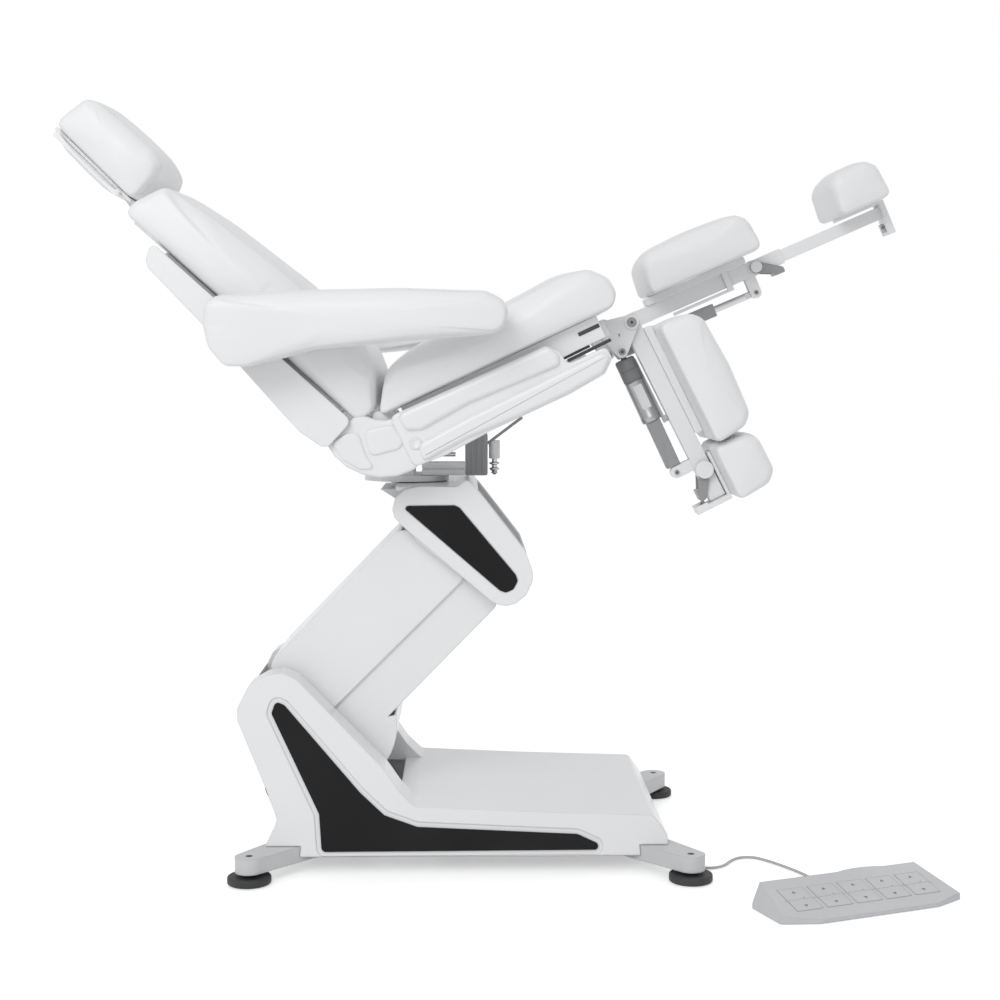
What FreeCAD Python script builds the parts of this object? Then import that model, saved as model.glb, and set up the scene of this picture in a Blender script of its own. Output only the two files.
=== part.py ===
import FreeCAD
import Part

import math
import os

# Podiatry chair on a lifting base, with a foot control beside it.
# Millimetres. X runs towards the sitter's feet, Z is up, the sitter's right hand is on -Y.
# Side views are drawn in the XZ plane. A turn is positive from +X towards +Z.

Vector = FreeCAD.Vector
os.makedirs("parts", exist_ok=True)

# Place of the model's origin in the chair's own layout
origin_x = 47.6
origin_y = -76.3

# General clearances and small sizes
running_gap = 0.5
pin_gap = 0.15
panel_gap = 1.0
seat_gap = 0.3
overrun = 20.0

# Base cover
base_reach = 400.0
ear_height = 355.0
base_floor_half_width = 250.0
base_top_half_width = 212.0
base_wall = 5.0
base_corner = 16.0
ear_inner_half_gap = 150.0
deck_height = 118.0
inlay_depth = 2.0
inlay_stand = 1.5
inlay_corner = 8.0

# Floor contact
foot_x = 387.0
foot_y = 300.0
foot_disc_diameter = 77.0
foot_disc_height = 14.0
foot_nut_diameter = 26.0
foot_stem_diameter = 12.0
lug_underside = 20.0
lug_height = 28.0
lug_tip_width = 50.0
lug_root_width = 74.0

# Base frame
rail_half_length = 330.0
rail_outer_half_gap = 215.0
rail_width = 30.0
frame_plate = 6.0
bracket_plate = 8.0
main_bracket_half_gap = 158.0
front_bracket_half_gap = 90.0
bracket_root_length = 90.0
control_box_length = 280.0
control_box_width = 190.0
control_box_height = 42.0
inlet_length = 26.0
inlet_width = 40.0
inlet_height = 22.0

# Lift arms
base_pivot_x = -353.4
base_pivot_z = 319.3
arm_length = 395.0
arm_angle = 45.6
front_pivot_dx = 100.1
front_pivot_dz = -78.4
pin_diameter = 22.0
arm_plate = 8.0
arm_plate_half_depth = 23.0
main_arm_half_width = 133.0
main_cover_wall = 5.0
main_cover_top = 41.0
main_cover_depth = 105.0
front_arm_half_width = 127.0
front_cover_wall = 4.0
front_cover_top = 45.0
front_cover_depth = 60.0
skirt_radius = 118.0
arm_tie_diameter = 20.0
arm_cover_corner = 12.0

# Lift actuator
lift_body_diameter = 56.0
lift_body_length = 200.0
lift_motor_diameter = 62.0
lift_motor_length = 110.0
lift_rod_diameter = 22.0
lift_rod_short = 28.0
lift_rod_insert = 88.0
lift_eye_width = 28.0
lift_eye_diameter = 46.0

# Head
head_length = 250.0
head_height = 200.0
head_half_width = 178.0
cheek_half_gap = 142.0
head_wall = 4.0
head_corner = 14.0
head_plate_half_gap = 146.0
head_panel_underside = 679.0
head_panel_top = 687.0
core_top = 677.0
core_bottom = 651.0
core_half_width = 100.0
core_length = 135.0
core_chamfer = 41.0
head_boss_radius = 26.0

# Swivel platform
swivel_x = -120.0
turret_diameter = 160.0
turret_thickness = 11.0
turret_hub_diameter = 60.0
turret_stub_diameter = 40.0
turret_stub_length = 24.0
tilt_pivot_x = -125.0
tilt_pivot_z = 778.0
tilt_pin_diameter = 16.0
tilt_upright_half_gap = 60.0
tilt_upright_plate = 8.0
tilt_upright_radius = 20.0
tilt_lever = 39.0

# Tilt actuator on the platform
tilt_rail_length = 81.0
tilt_rail_height = 25.0
tilt_rail_width = 40.0
tilt_rail_start_x = -90.0
tilt_rail_y = -45.0
tilt_groove = 4.0
gear_length = 42.0
gear_height = 73.0
motor_diameter = 21.0
motor_height = 46.0
tilt_rod_diameter = 8.0
tilt_rod_spacing = 12.0
crosshead_half_width = 20.0
crosshead_length = 34.0
crosshead_height = 34.0
clevis_pin_diameter = 10.0
guide_length = 82.0
guide_angle = 37.0
guide_width = 16.0
guide_thickness = 4.0

# Seat
hinge_x = -158.7
hinge_z = 812.3
seat_angle = 25.0
seat_half_width = 285.0
seat_length = 460.0
seat_thickness = 84.0
cushion_side_radius = 26.0
cushion_side_draw = 9.0
cushion_crown = 7.0
cushion_corner = 16.0
cushion_lift = 1.0
meeting_gap = 0.8
shell_length = 400.0
shell_depth = 100.0
shell_corner = 12.0
shell_outer_half_width = 290.0
shell_layer = 13.0
knuckle_layer = 13.0
knuckle_radius = 105.0
knuckle_block = 58.0
knuckle_block_stand = 5.0
frame_rail_half_gap = 222.0
frame_rail_width = 30.0
frame_rail_top = -10.0
frame_rail_depth = 30.0
seat_rail_start = 42.0
seat_rail_end = 418.0
seat_tie_shares = (0.15, 0.72, 0.9)
hinge_nose_radius = 11.0
hinge_plate = 8.0
hinge_pin_diameter = 12.0
hinge_seat_half_gap = 253.0
hinge_pocket_radius = 15.0
tilt_lug_half_gap = 50.0

# Recline actuator
recline_y = 150.0
recline_mount_u = 300.0
recline_mount_v = -76.0
recline_lever = 75.0
recline_lever_angle = 112.0
recline_body_diameter = 40.0
recline_body_length = 170.0
recline_rod_diameter = 18.0
recline_rod_short = 13.0
recline_range = 40.0

# Back
back_angle = 138.0
back_length = 550.0
back_thickness = 70.0
back_shell_wall = 4.0
back_seam = -34.0
back_rail_start = 60.0
back_rail_end = 462.0
back_rail_top = -38.0
back_rail_depth = 24.0
back_tie_shares = (0.16, 0.55, 0.95)
back_notch_length = 112.0
back_lever_u = 392.0
back_lever_length = 58.0
back_lever_width = 64.0
back_lever_thickness = 7.0
back_lever_gap = 3.0

# Headrest
headrest_start = 548.0
headrest_length = 240.0
headrest_thickness = 90.0
headrest_half_width = 140.0
headrest_tilt_u = 600.0
headrest_tilt_v = -22.0
headrest_board = 6.0
headrest_post_width = 50.0
headrest_post_thickness = 8.0
headrest_post_length = 320.0
headrest_travel = 90.0
headrest_hub_diameter = 18.0

# Armrests
arm_pad_length = 508.0
arm_pad_height = 130.0
arm_pad_half_gap = 304.0
arm_pad_width = 94.0
arm_pivot_u = 257.0
arm_pivot_v = -64.0
arm_pivot_diameter = 20.0
arm_strip_thickness = 8.0
arm_strip_depth = 20.0

# Legs
knee_x = 290.0
knee_z = 981.0
leg_centre = 140.0
right_leg_angle = -63.1
left_leg_angle = 23.5
leg_tube_size = 30.0
leg_tube_wall = 2.5
leg_tube_start = -15.0
leg_tube_end = 354.0
leg_slide_size = 24.0
leg_slide_length = 330.0
leg_slide_gap = 0.3
leg_extension = 160.0
calf_shift = 50.0
calf_start = 25.0
calf_length = 233.0
calf_thickness = 82.0
calf_half_width = 124.0
calf_board = 14.0
calf_board_start = 20.0
calf_board_length = 212.0
calf_board_width = 46.0
calf_link_diameter = 6.0
calf_link_drop = 24.0
foot_pad_start = 260.0
foot_pad_length = 108.0
foot_pad_thickness = 84.0
foot_pad_half_width = 108.0
foot_pad_base = 23.0
end_bracket_u = 356.0
end_bracket_thickness = 10.0
end_bracket_low = -22.0
end_bracket_high = 100.0
end_bracket_half_width = 26.0
pull_handle_depth = 24.0
pull_handle_bar = 7.0
trigger_thickness = 4.0
trigger_travel = 6.0
knee_pin_diameter = 14.0
knee_plate = 6.0
knee_plate_gap = 5.0
knee_plate_length = 78.0
actuator_pin_u = 440.4
actuator_pin_v = -77.5
actuator_pin_diameter = 9.5
actuator_lug_u = 280.0
actuator_lug_v = -46.0
actuator_lug_plate = 4.0
actuator_eye_width = 10.0
actuator_eye_diameter = 22.0
actuator_body_diameter = 37.0
actuator_tube_size = 26.0
actuator_body_length = 124.0
actuator_tube_length = 91.0
actuator_body_start = 14.0
actuator_rod_length = 101.0
actuator_rod_diameter = 14.0
release_u = 297.0
release_v = -24.0
release_length = 50.0
release_width = 40.0
release_bar = 7.0
release_cap_diameter = 32.0
release_cap_thickness = 8.0

# Foot control
control_x = 652.0
control_y = -436.0
control_turn = 21.0
control_length = 355.0
control_width = 125.0
control_height = 38.0
control_front_height = 7.0
control_corner = 8.0
control_edge_height = 3.0
control_end_slope = 22.0
control_hump_reach = 9.0
control_hump_half_length = 48.0
control_hump_place = 44.0
control_chamfer = 22.0
control_front_chamfer = 62.0
key_count = 5
key_length = 48.0
key_width = 66.0
key_pitch = 58.0
key_thickness = 4.0
key_stand = 0.4
key_gap = 0.8
key_pin_diameter = 3.0
key_pin_reach = 3.0
key_arrow = 9.0
key_tilt = 1.2
gland_length = 30.0
gland_diameter = 16.0
gland_height = 12.0
cable_diameter = 5.0

# Shares for corners and rounding
corner_reach_share = 0.45
half_share = 0.5

nodes = {}


class SideFrame:
    """A frame in the side view: u runs along its angle and v square to u."""

    def __init__(self, x, z, angle, v_turn=1):
        self.x = x
        self.z = z
        self.angle = angle
        self.v_turn = v_turn
        turn = math.radians(angle)
        self.u_axis = Vector(math.cos(turn), 0, math.sin(turn))
        self.v_axis = Vector(-math.sin(turn), 0, math.cos(turn)) * v_turn

    def point(self, u, v, y=0.0):
        """Give the place of (u, v) at the width y."""
        return Vector(self.x, y, self.z) + self.u_axis * u + self.v_axis * v

    def local(self, place):
        """Give (u, v) of a place."""
        offset = place - Vector(self.x, place.y, self.z)
        return offset.dot(self.u_axis), offset.dot(self.v_axis)


def outline_wire(corners, radius):
    """Close a wire through the corners, each cut by an arc that touches both its sides."""
    count = len(corners)
    if radius == 0:
        return Part.makePolygon(corners + corners[:1])
    cuts = []
    for index in range(count):
        corner = corners[index]
        back = corners[index - 1] - corner
        ahead = corners[(index + 1) % count] - corner
        half_turn = ahead.getAngle(back) * half_share
        reach = corner_reach_share * min(back.Length, ahead.Length)
        size = min(radius, reach * math.tan(half_turn))
        cut = size / math.tan(half_turn)
        back.normalize()
        ahead.normalize()
        middle_way = back + ahead
        middle_way.normalize()
        middle = corner + middle_way * (size / math.sin(half_turn) - size)
        cuts.append((corner + back * cut, middle, corner + ahead * cut))
    edges = []
    for index in range(count):
        start, middle, end = cuts[index]
        edges.append(Part.Arc(start, middle, end).toShape())
        edges.append(Part.makeLine(end, cuts[(index + 1) % count][0]))
    return Part.Wire(edges)


def spread(shares, length, depth):
    """Turn a table of shares into an outline of real size."""
    return [(u_share * length, v_share * depth) for u_share, v_share in shares]


def across(side, near, far):
    """Give the two widths on one side of the chair, the smaller first."""
    return sorted((side * near, side * far))


def slab(frame, outline, y_from, y_to, radius=0.0):
    """Push an outline of the side view through from one width to another."""
    corners = [frame.point(u, v, y_from) for u, v in outline]
    face = Part.Face(outline_wire(corners, radius))
    return face.extrude(Vector(0, y_to - y_from, 0))


def block(frame, u_from, u_to, v_from, v_to, y_from, y_to, radius=0.0):
    """Make a square block along a side frame."""
    outline = [(u_from, v_from), (u_to, v_from), (u_to, v_to), (u_from, v_to)]
    return slab(frame, outline, y_from, y_to, radius)


def cross_pin(frame, u, v, y_from, y_to, diameter):
    """Make a round pin along the chair's width."""
    return Part.makeCylinder(diameter / 2, y_to - y_from, frame.point(u, v, y_from), Vector(0, 1, 0))


def rod(start, end, diameter):
    """Make a round rod from one place to another."""
    return Part.makeCylinder(diameter / 2, (end - start).Length, start, end - start)


def link_plate(frame, ends, y_from, y_to):
    """Make a plate round a row of centres, each given as (u, v, radius)."""
    solid = None
    for u, v, radius in ends:
        disc = cross_pin(frame, u, v, y_from, y_to, 2 * radius)
        solid = disc if solid is None else solid.fuse(disc)
    for first, second in zip(ends[:-1], ends[1:]):
        run = Vector(second[0] - first[0], second[1] - first[1], 0)
        run.normalize()
        outline = [
            (first[0] - run.y * first[2], first[1] + run.x * first[2]),
            (first[0] + run.y * first[2], first[1] - run.x * first[2]),
            (second[0] + run.y * second[2], second[1] - run.x * second[2]),
            (second[0] - run.y * second[2], second[1] + run.x * second[2]),
        ]
        solid = solid.fuse(slab(frame, outline, y_from, y_to))
    return solid.removeSplitter()


def joined(shapes):
    """Fuse shapes that are one piece."""
    return shapes[0].multiFuse(shapes[1:]).removeSplitter()


def save(name, shape):
    """Move a sub-part into the model's own frame and write it."""
    moved = shape.copy()
    moved.translate(Vector(-origin_x, -origin_y, 0))
    nodes[name] = moved
    moved.exportStep("parts/" + name + ".step")
    print(name, "valid", moved.isValid(), "solids", len(moved.Solids), "volume", round(moved.Volume))


chair_side = SideFrame(0, 0, 0)
base_main_pivot = Vector(base_pivot_x, 0, base_pivot_z)
base_front_pivot = base_main_pivot + Vector(front_pivot_dx, 0, front_pivot_dz)
main_arm_frame = SideFrame(base_main_pivot.x, base_main_pivot.z, arm_angle)
front_arm_frame = SideFrame(base_front_pivot.x, base_front_pivot.z, arm_angle)
head_main_pivot = main_arm_frame.point(arm_length, 0)
head_front_pivot = front_arm_frame.point(arm_length, 0)
head_frame_view = SideFrame(head_main_pivot.x, head_main_pivot.z, 0)
swivel_centre = Vector(swivel_x, 0, 0)
tilt_pivot = Vector(tilt_pivot_x, 0, tilt_pivot_z)
hinge = Vector(hinge_x, 0, hinge_z)
seat_view = SideFrame(hinge_x, hinge_z, seat_angle)
back_view = SideFrame(hinge_x, hinge_z, back_angle, -1)
knee = Vector(knee_x, 0, knee_z)


# Base cover

base_side_shares = (
    (-0.94, 0.085), (-0.865, 0.248), (-0.865, 0.282), (-0.91, 0.417), (-1.04, 0.763), (-1.043, 0.823),
    (-0.99, 0.941), (-0.913, 0.989), (-0.838, 1.0), (-0.778, 0.969), (-0.385, 0.518), (-0.318, 0.408),
    (-0.25, 0.332), (0.258, 0.305), (0.82, 0.285), (0.88, 0.192), (0.885, 0.085),
)
base_opening_shares = (
    (-1.02, 1.2), (-1.022, 0.76), (-0.892, 0.417), (-0.85, 0.29), (-0.85, 0.1), (-0.325, 0.1), (-0.325, 1.2),
)
base_inlay_shares = (
    (-0.888, 0.8), (-0.87, 0.86), (-0.83, 0.84), (-0.493, 0.403), (-0.385, 0.29), (-0.238, 0.231),
    (0.478, 0.192), (0.628, 0.115), (-0.663, 0.11), (-0.675, 0.299),
)


def base_prism(inset):
    """Make the tapering body that the sides of the base cover follow."""
    floor_half = base_floor_half_width - inset
    top_half = base_top_half_width - inset
    section = Part.makePolygon([
        Vector(-base_reach - overrun - overrun, -floor_half, 0),
        Vector(-base_reach - overrun - overrun, floor_half, 0),
        Vector(-base_reach - overrun - overrun, top_half, ear_height + overrun),
        Vector(-base_reach - overrun - overrun, -top_half, ear_height + overrun),
        Vector(-base_reach - overrun - overrun, -floor_half, 0),
    ])
    return Part.Face(section).extrude(Vector(2 * (base_reach + overrun + overrun), 0, 0))


def lug_solid(x_side, y_side, growth=0.0):
    """Make one foot lug from the frame's corner out to its levelling disc, or its notch with growth."""
    tip = Vector(x_side * foot_x, y_side * foot_y, lug_underside)
    root = Vector(x_side * (rail_half_length - rail_width), y_side * (rail_outer_half_gap - rail_width), lug_underside)
    run = tip - root
    run.normalize()
    square = Vector(-run.y, run.x, 0)
    corners = [
        root + square * (lug_root_width / 2 + growth),
        root - square * (lug_root_width / 2 + growth),
        tip - square * (lug_tip_width / 2 + growth),
        tip + square * (lug_tip_width / 2 + growth),
        root + square * (lug_root_width / 2 + growth),
    ]
    bar = Part.Face(Part.makePolygon(corners)).extrude(Vector(0, 0, lug_height + growth))
    end = Part.makeCylinder(lug_tip_width / 2 + growth, lug_height + growth, tip)
    return bar.fuse(end).removeSplitter()


def rail_boxes():
    """List the two long rails and three cross rails of the base frame."""
    boxes = []
    for side in (-1, 1):
        y_from, y_to = across(side, rail_outer_half_gap - rail_width, rail_outer_half_gap)
        boxes.append(block(chair_side, -rail_half_length, rail_half_length, lug_underside,
                           lug_underside + lug_height, y_from, y_to))
    inner = rail_outer_half_gap - rail_width
    for start in (-rail_half_length, -bracket_root_length, rail_half_length - rail_width):
        boxes.append(block(chair_side, start, start + rail_width, lug_underside,
                           lug_underside + lug_height, -inner, inner))
    return boxes


lug_sides = [(x_side, y_side) for x_side in (-1, 1) for y_side in (-1, 1)]
base_rails = joined(rail_boxes())
stem_bore = foot_stem_diameter + 2 * pin_gap


def make_base_cover():
    """Make the moulded base cover with its two ears, open between them."""
    outline = spread(base_side_shares, base_reach, ear_height)
    half = base_floor_half_width + overrun
    outer = slab(chair_side, outline, -half, half, base_corner).common(base_prism(0))
    corners = [chair_side.point(u, v, -half) for u, v in outline]
    face = Part.Face(outline_wire(corners, base_corner)).makeOffset2D(-base_wall)
    inner = face.extrude(Vector(0, 2 * half, 0)).common(base_prism(base_wall))
    inner_top = deck_height - base_wall
    low_box = block(chair_side, -base_reach - overrun, base_reach, 0, inner_top, -half, half)
    cover = outer.cut(inner.common(low_box))
    for side in (-1, 1):
        y_from, y_to = across(side, ear_inner_half_gap + base_wall, half)
        ear_box = block(chair_side, -base_reach - overrun, 0, lug_underside, ear_height, y_from, y_to)
        cover = cover.cut(inner.common(ear_box))
    opening = spread(base_opening_shares, base_reach, ear_height)
    cover = cover.cut(slab(chair_side, opening, -ear_inner_half_gap, ear_inner_half_gap))
    opening_front = base_opening_shares[-1][0] * base_reach
    cover = cover.cut(block(chair_side, opening_front - overrun, 0, deck_height, ear_height,
                            -ear_inner_half_gap, ear_inner_half_gap))
    sill = base_side_shares[0][1] * ear_height
    cover = cover.cut(block(chair_side, outline[1][0] + base_wall, outline[-1][0] - base_wall, 0, sill + overrun,
                            -base_floor_half_width + 2 * base_wall, base_floor_half_width - 2 * base_wall))
    for x_side, y_side in lug_sides:
        cover = cover.cut(lug_solid(x_side, y_side, panel_gap))
    cover = cover.cut(inlay_band(0, inlay_corner + panel_gap))
    pin_hole = pin_diameter + 2 * panel_gap
    cover = cover.cut(cross_pin(chair_side, base_main_pivot.x, base_main_pivot.z, -main_bracket_half_gap,
                                main_bracket_half_gap, pin_hole))
    save("base_cover", cover)


def inlay_band(stand, growth):
    """Make the two side inlays, standing proud of the cover by a little, or their recesses."""
    half = base_floor_half_width + overrun
    outline = spread(base_inlay_shares, base_reach, ear_height)
    corners = [chair_side.point(u, v, -half) for u, v in outline]
    face = Part.Face(outline_wire(corners, inlay_corner))
    if growth > 0:
        face = face.makeOffset2D(growth)
    through = face.extrude(Vector(0, 2 * half, 0))
    return through.common(base_prism(-stand - growth)).cut(base_prism(inlay_depth))


def make_base_panels():
    """Make the black inlays of the base cover's sides."""
    save("base_side_panels", inlay_band(inlay_stand, 0))


def base_frame():
    """Make the welded base frame with the brackets that hold both arm pivots."""
    rail_top = lug_underside + lug_height
    plate_end = base_front_pivot.x + bracket_root_length
    pieces = [base_rails]
    half = rail_outer_half_gap
    pieces.append(block(chair_side, -rail_half_length, plate_end, rail_top, rail_top + frame_plate, -half, half))
    plate_top = rail_top + frame_plate
    for side in (-1, 1):
        y_from, y_to = across(side, main_bracket_half_gap, main_bracket_half_gap + bracket_plate)
        post = link_plate(chair_side, [
            (base_main_pivot.x, base_main_pivot.z, pin_diameter),
            (-rail_half_length + bracket_root_length / 2, plate_top + bracket_root_length / 2, bracket_root_length / 2),
        ], y_from, y_to)
        foot = block(chair_side, -rail_half_length, -rail_half_length + bracket_root_length, plate_top,
                     plate_top + bracket_root_length / 2, y_from, y_to)
        pieces.append(post.fuse(foot))
        y_from, y_to = across(side, front_bracket_half_gap, front_bracket_half_gap + bracket_plate)
        post = link_plate(chair_side, [
            (base_front_pivot.x, base_front_pivot.z, pin_diameter),
            (base_front_pivot.x - bracket_root_length / 3, base_front_pivot.z - bracket_root_length, pin_diameter),
            (base_front_pivot.x - bracket_root_length / 3, plate_top + pin_diameter, pin_diameter),
        ], y_from, y_to)
        foot_start = base_front_pivot.x - bracket_root_length / 3 - pin_diameter
        foot = block(chair_side, foot_start, foot_start + 2 * pin_diameter, plate_top, plate_top + pin_diameter,
                     y_from, y_to)
        pieces.append(post.fuse(foot))
    frame = joined(pieces)
    bore = pin_diameter
    reach = main_bracket_half_gap + bracket_plate + overrun
    for pivot in (base_main_pivot, base_front_pivot):
        frame = frame.cut(cross_pin(chair_side, pivot.x, pivot.z, -reach, reach, bore))
    return frame


def pivot_pins():
    """Make the two pins that the arms turn on at the base."""
    main_reach = main_bracket_half_gap + bracket_plate + running_gap
    front_reach = front_arm_half_width
    pins = [
        cross_pin(chair_side, base_main_pivot.x, base_main_pivot.z, -main_reach, main_reach, pin_diameter),
        cross_pin(chair_side, base_front_pivot.x, base_front_pivot.z, -front_reach, front_reach, pin_diameter),
    ]
    return pins


def make_floor_contact():
    """Make the four lugs and the four levelling feet on their stems."""
    lugs = []
    feet = []
    for x_side, y_side in lug_sides:
        centre = Vector(x_side * foot_x, y_side * foot_y, 0)
        bore = Part.makeCylinder(stem_bore / 2, lug_underside + lug_height + overrun, centre)
        lugs.append(lug_solid(x_side, y_side).cut(base_rails).cut(bore))
        disc = Part.makeCylinder(foot_disc_diameter / 2, foot_disc_height, centre)
        rim = [edge for edge in disc.Edges if edge.Length > foot_disc_diameter]
        disc = disc.makeFillet(foot_disc_height / 4, rim[:2])
        nut_height = lug_underside - foot_disc_height
        nut = Part.makeCylinder(foot_nut_diameter / 2, nut_height, centre + Vector(0, 0, foot_disc_height))
        stem = Part.makeCylinder(foot_stem_diameter / 2, lug_underside + lug_height, centre)
        feet.append(joined([disc, nut, stem]))
    save("outrigger_lugs", Part.makeCompound(lugs))
    save("levelling_feet", Part.makeCompound(feet))


def make_control_box():
    """Make the control box in the base, with the mains inlet at the rear of the cover."""
    start = -bracket_root_length
    floor = lug_underside + lug_height
    box = block(chair_side, start, start + control_box_length, floor, floor + control_box_height,
                -control_box_width / 2, control_box_width / 2, base_wall)
    save("control_box", box)


def mains_inlet():
    """Make the small mains inlet that stands on the rear wall of the base cover."""
    wall_x = base_side_shares[3][0] * base_reach
    wall_z = base_side_shares[3][1] * ear_height
    low_x = base_side_shares[2][0] * base_reach
    low_z = base_side_shares[2][1] * ear_height
    slope = math.degrees(math.atan2(wall_z - low_z, wall_x - low_x))
    face_view = SideFrame(low_x, low_z, slope)
    middle = math.hypot(wall_x - low_x, wall_z - low_z) / 2
    y_from, y_to = across(-1, ear_inner_half_gap / 2, ear_inner_half_gap / 2 + inlet_width)
    inlet = block(face_view, middle - inlet_height / 2, middle + inlet_height / 2, 0, inlet_length, y_from, y_to,
                  base_wall)
    return inlet


# Lift arms

main_cover_shares = (
    (0.03, 0.31), (0.075, 0.4), (0.9, 0.41), (0.94, 0.3), (0.972, -1.08), (0.084, -1.03),
)
front_cover_shares = (
    (0.05, 0.45), (0.94, 0.45), (0.985, 0.2), (0.946, -0.6), (0.18, -0.6), (0.0, -0.4), (-0.075, 0.0), (-0.05, 0.3),
)
cover_height = 100.0
skirt_end_angle = -50.0
skirt_start_angle = 10.0
tie_places_share = (0.28, 0.8)


def make_arm(name, view, half_width, tie_side):
    """Make an arm as two plates with two round ties between them."""
    pieces = []
    for side in (-1, 1):
        y_from, y_to = across(side, half_width - arm_plate, half_width)
        pieces.append(link_plate(view, [(0, 0, arm_plate_half_depth), (arm_length, 0, arm_plate_half_depth)],
                                 y_from, y_to))
    for share in tie_places_share:
        tie_v = tie_side * (arm_plate_half_depth - arm_tie_diameter / 2 - panel_gap)
        pieces.append(cross_pin(view, share * arm_length, tie_v, -half_width + arm_plate / 2,
                                half_width - arm_plate / 2, arm_tie_diameter))
    arm = joined(pieces)
    for place in (0, arm_length):
        arm = arm.cut(cross_pin(view, place, 0, -half_width - overrun, half_width + overrun,
                                pin_diameter + 2 * pin_gap))
    save(name, arm)


def make_main_arm_cover():
    """Make the wide channel over the main arm."""
    outline = spread(main_cover_shares, arm_length, cover_height)
    half = main_arm_half_width + main_cover_wall
    cover = slab(main_arm_frame, outline, -half, half, arm_cover_corner)
    inner = main_arm_half_width
    cover = cover.cut(block(main_arm_frame, -overrun, arm_length + overrun, -main_cover_depth - overrun,
                            main_cover_top - main_cover_wall, -inner, inner))
    hole = pin_diameter + 2 * running_gap
    for place in (0, arm_length):
        cover = cover.cut(cross_pin(main_arm_frame, place, 0, -half - overrun, half + overrun, hole))
    save("main_arm_cover", cover)


def skirt_sector(radius, half):
    """Fill the sector round the front pivot that the curved skirt closes."""
    centre = base_front_pivot + Vector(0, -half, 0)
    rim = []
    for angle in (skirt_start_angle, (skirt_start_angle + skirt_end_angle) / 2, skirt_end_angle):
        turn = math.radians(angle)
        rim.append(centre + Vector(math.cos(turn), 0, math.sin(turn)) * radius)
    arc = Part.Arc(rim[0], rim[1], rim[2]).toShape()
    wire = Part.Wire([Part.makeLine(centre, rim[0]), arc, Part.makeLine(rim[2], centre)])
    return Part.Face(wire).extrude(Vector(0, 2 * half, 0))


def make_front_arm_cover():
    """Make the narrow channel under the front arm, with the curved skirt at its lower end."""
    outline = spread(front_cover_shares, arm_length, cover_height)
    half = front_arm_half_width + front_cover_wall
    web_inside = -front_cover_depth + front_cover_wall
    cover = slab(front_arm_frame, outline, -half, half, arm_cover_corner)
    cover = cover.fuse(skirt_sector(skirt_radius, half))
    inner = front_arm_half_width
    space = block(front_arm_frame, -overrun - arm_length, arm_length + overrun, web_inside, cover_height, -inner, inner)
    cover = cover.cut(space)
    cover = cover.cut(skirt_sector(skirt_radius - front_cover_wall, inner))
    hole = pin_diameter + 2 * running_gap
    for place in (0, arm_length):
        cover = cover.cut(cross_pin(front_arm_frame, place, 0, -half - overrun, half + overrun, hole))
    save("front_arm_cover", cover)


# Lift actuator, from the base's front pivot to the head's main pivot

lift_line = head_main_pivot - base_front_pivot
lift_view = SideFrame(base_front_pivot.x, base_front_pivot.z, math.degrees(math.atan2(lift_line.z, lift_line.x)))


def make_lift_actuator():
    """Make the lift actuator's body with its motor, and its rod."""
    half = lift_eye_width / 2
    start = lift_eye_diameter / 2
    eye = cross_pin(lift_view, 0, 0, -half, half, lift_eye_diameter)
    neck = block(lift_view, 0, start + overrun, -half, half, -half, half)
    body = rod(lift_view.point(start, 0), lift_view.point(start + lift_body_length, 0), lift_body_diameter)
    motor_y = (lift_body_diameter + lift_motor_diameter) / 2 - frame_plate
    motor = rod(lift_view.point(start + overrun, 0, motor_y),
                lift_view.point(start + overrun + lift_motor_length, 0, motor_y), lift_motor_diameter)
    bridge = block(lift_view, start + overrun, start + 2 * overrun, -half, half, 0, motor_y)
    whole = joined([eye, neck, body, motor, bridge])
    whole = whole.cut(cross_pin(lift_view, 0, 0, -half - overrun, half + overrun, pin_diameter + 2 * pin_gap))
    rod_reach = lift_line.Length - lift_rod_short
    bore = rod(lift_view.point(start + overrun + running_gap, 0), lift_view.point(rod_reach, 0),
               lift_rod_diameter + 2 * pin_gap)
    save("lift_actuator_body", whole.cut(bore))
    shaft = rod(lift_view.point(start + overrun + lift_rod_insert, 0),
                lift_view.point(rod_reach, 0), lift_rod_diameter)
    save("lift_actuator_rod", shaft)


# Head

head_side_shares = (
    (-0.253, 0.219), (-0.229, 0.329), (-0.165, 0.4), (-0.065, 0.429), (0.219, 0.424), (0.287, 0.494),
    (0.327, 0.444), (0.399, 0.339), (0.707, -0.157), (0.759, -0.337), (0.763, -0.427), (0.715, -0.557),
    (0.635, -0.637), (0.575, -0.657), (0.511, -0.647), (0.459, -0.612), (-0.157, 0.044), (-0.237, 0.144),
)
head_inlay_shares = (
    (-0.157, 0.224), (-0.145, 0.249), (0.195, 0.254), (0.231, 0.234), (0.635, -0.372), (0.651, -0.427),
    (0.619, -0.502), (0.567, -0.532), (0.523, -0.512),
)


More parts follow.
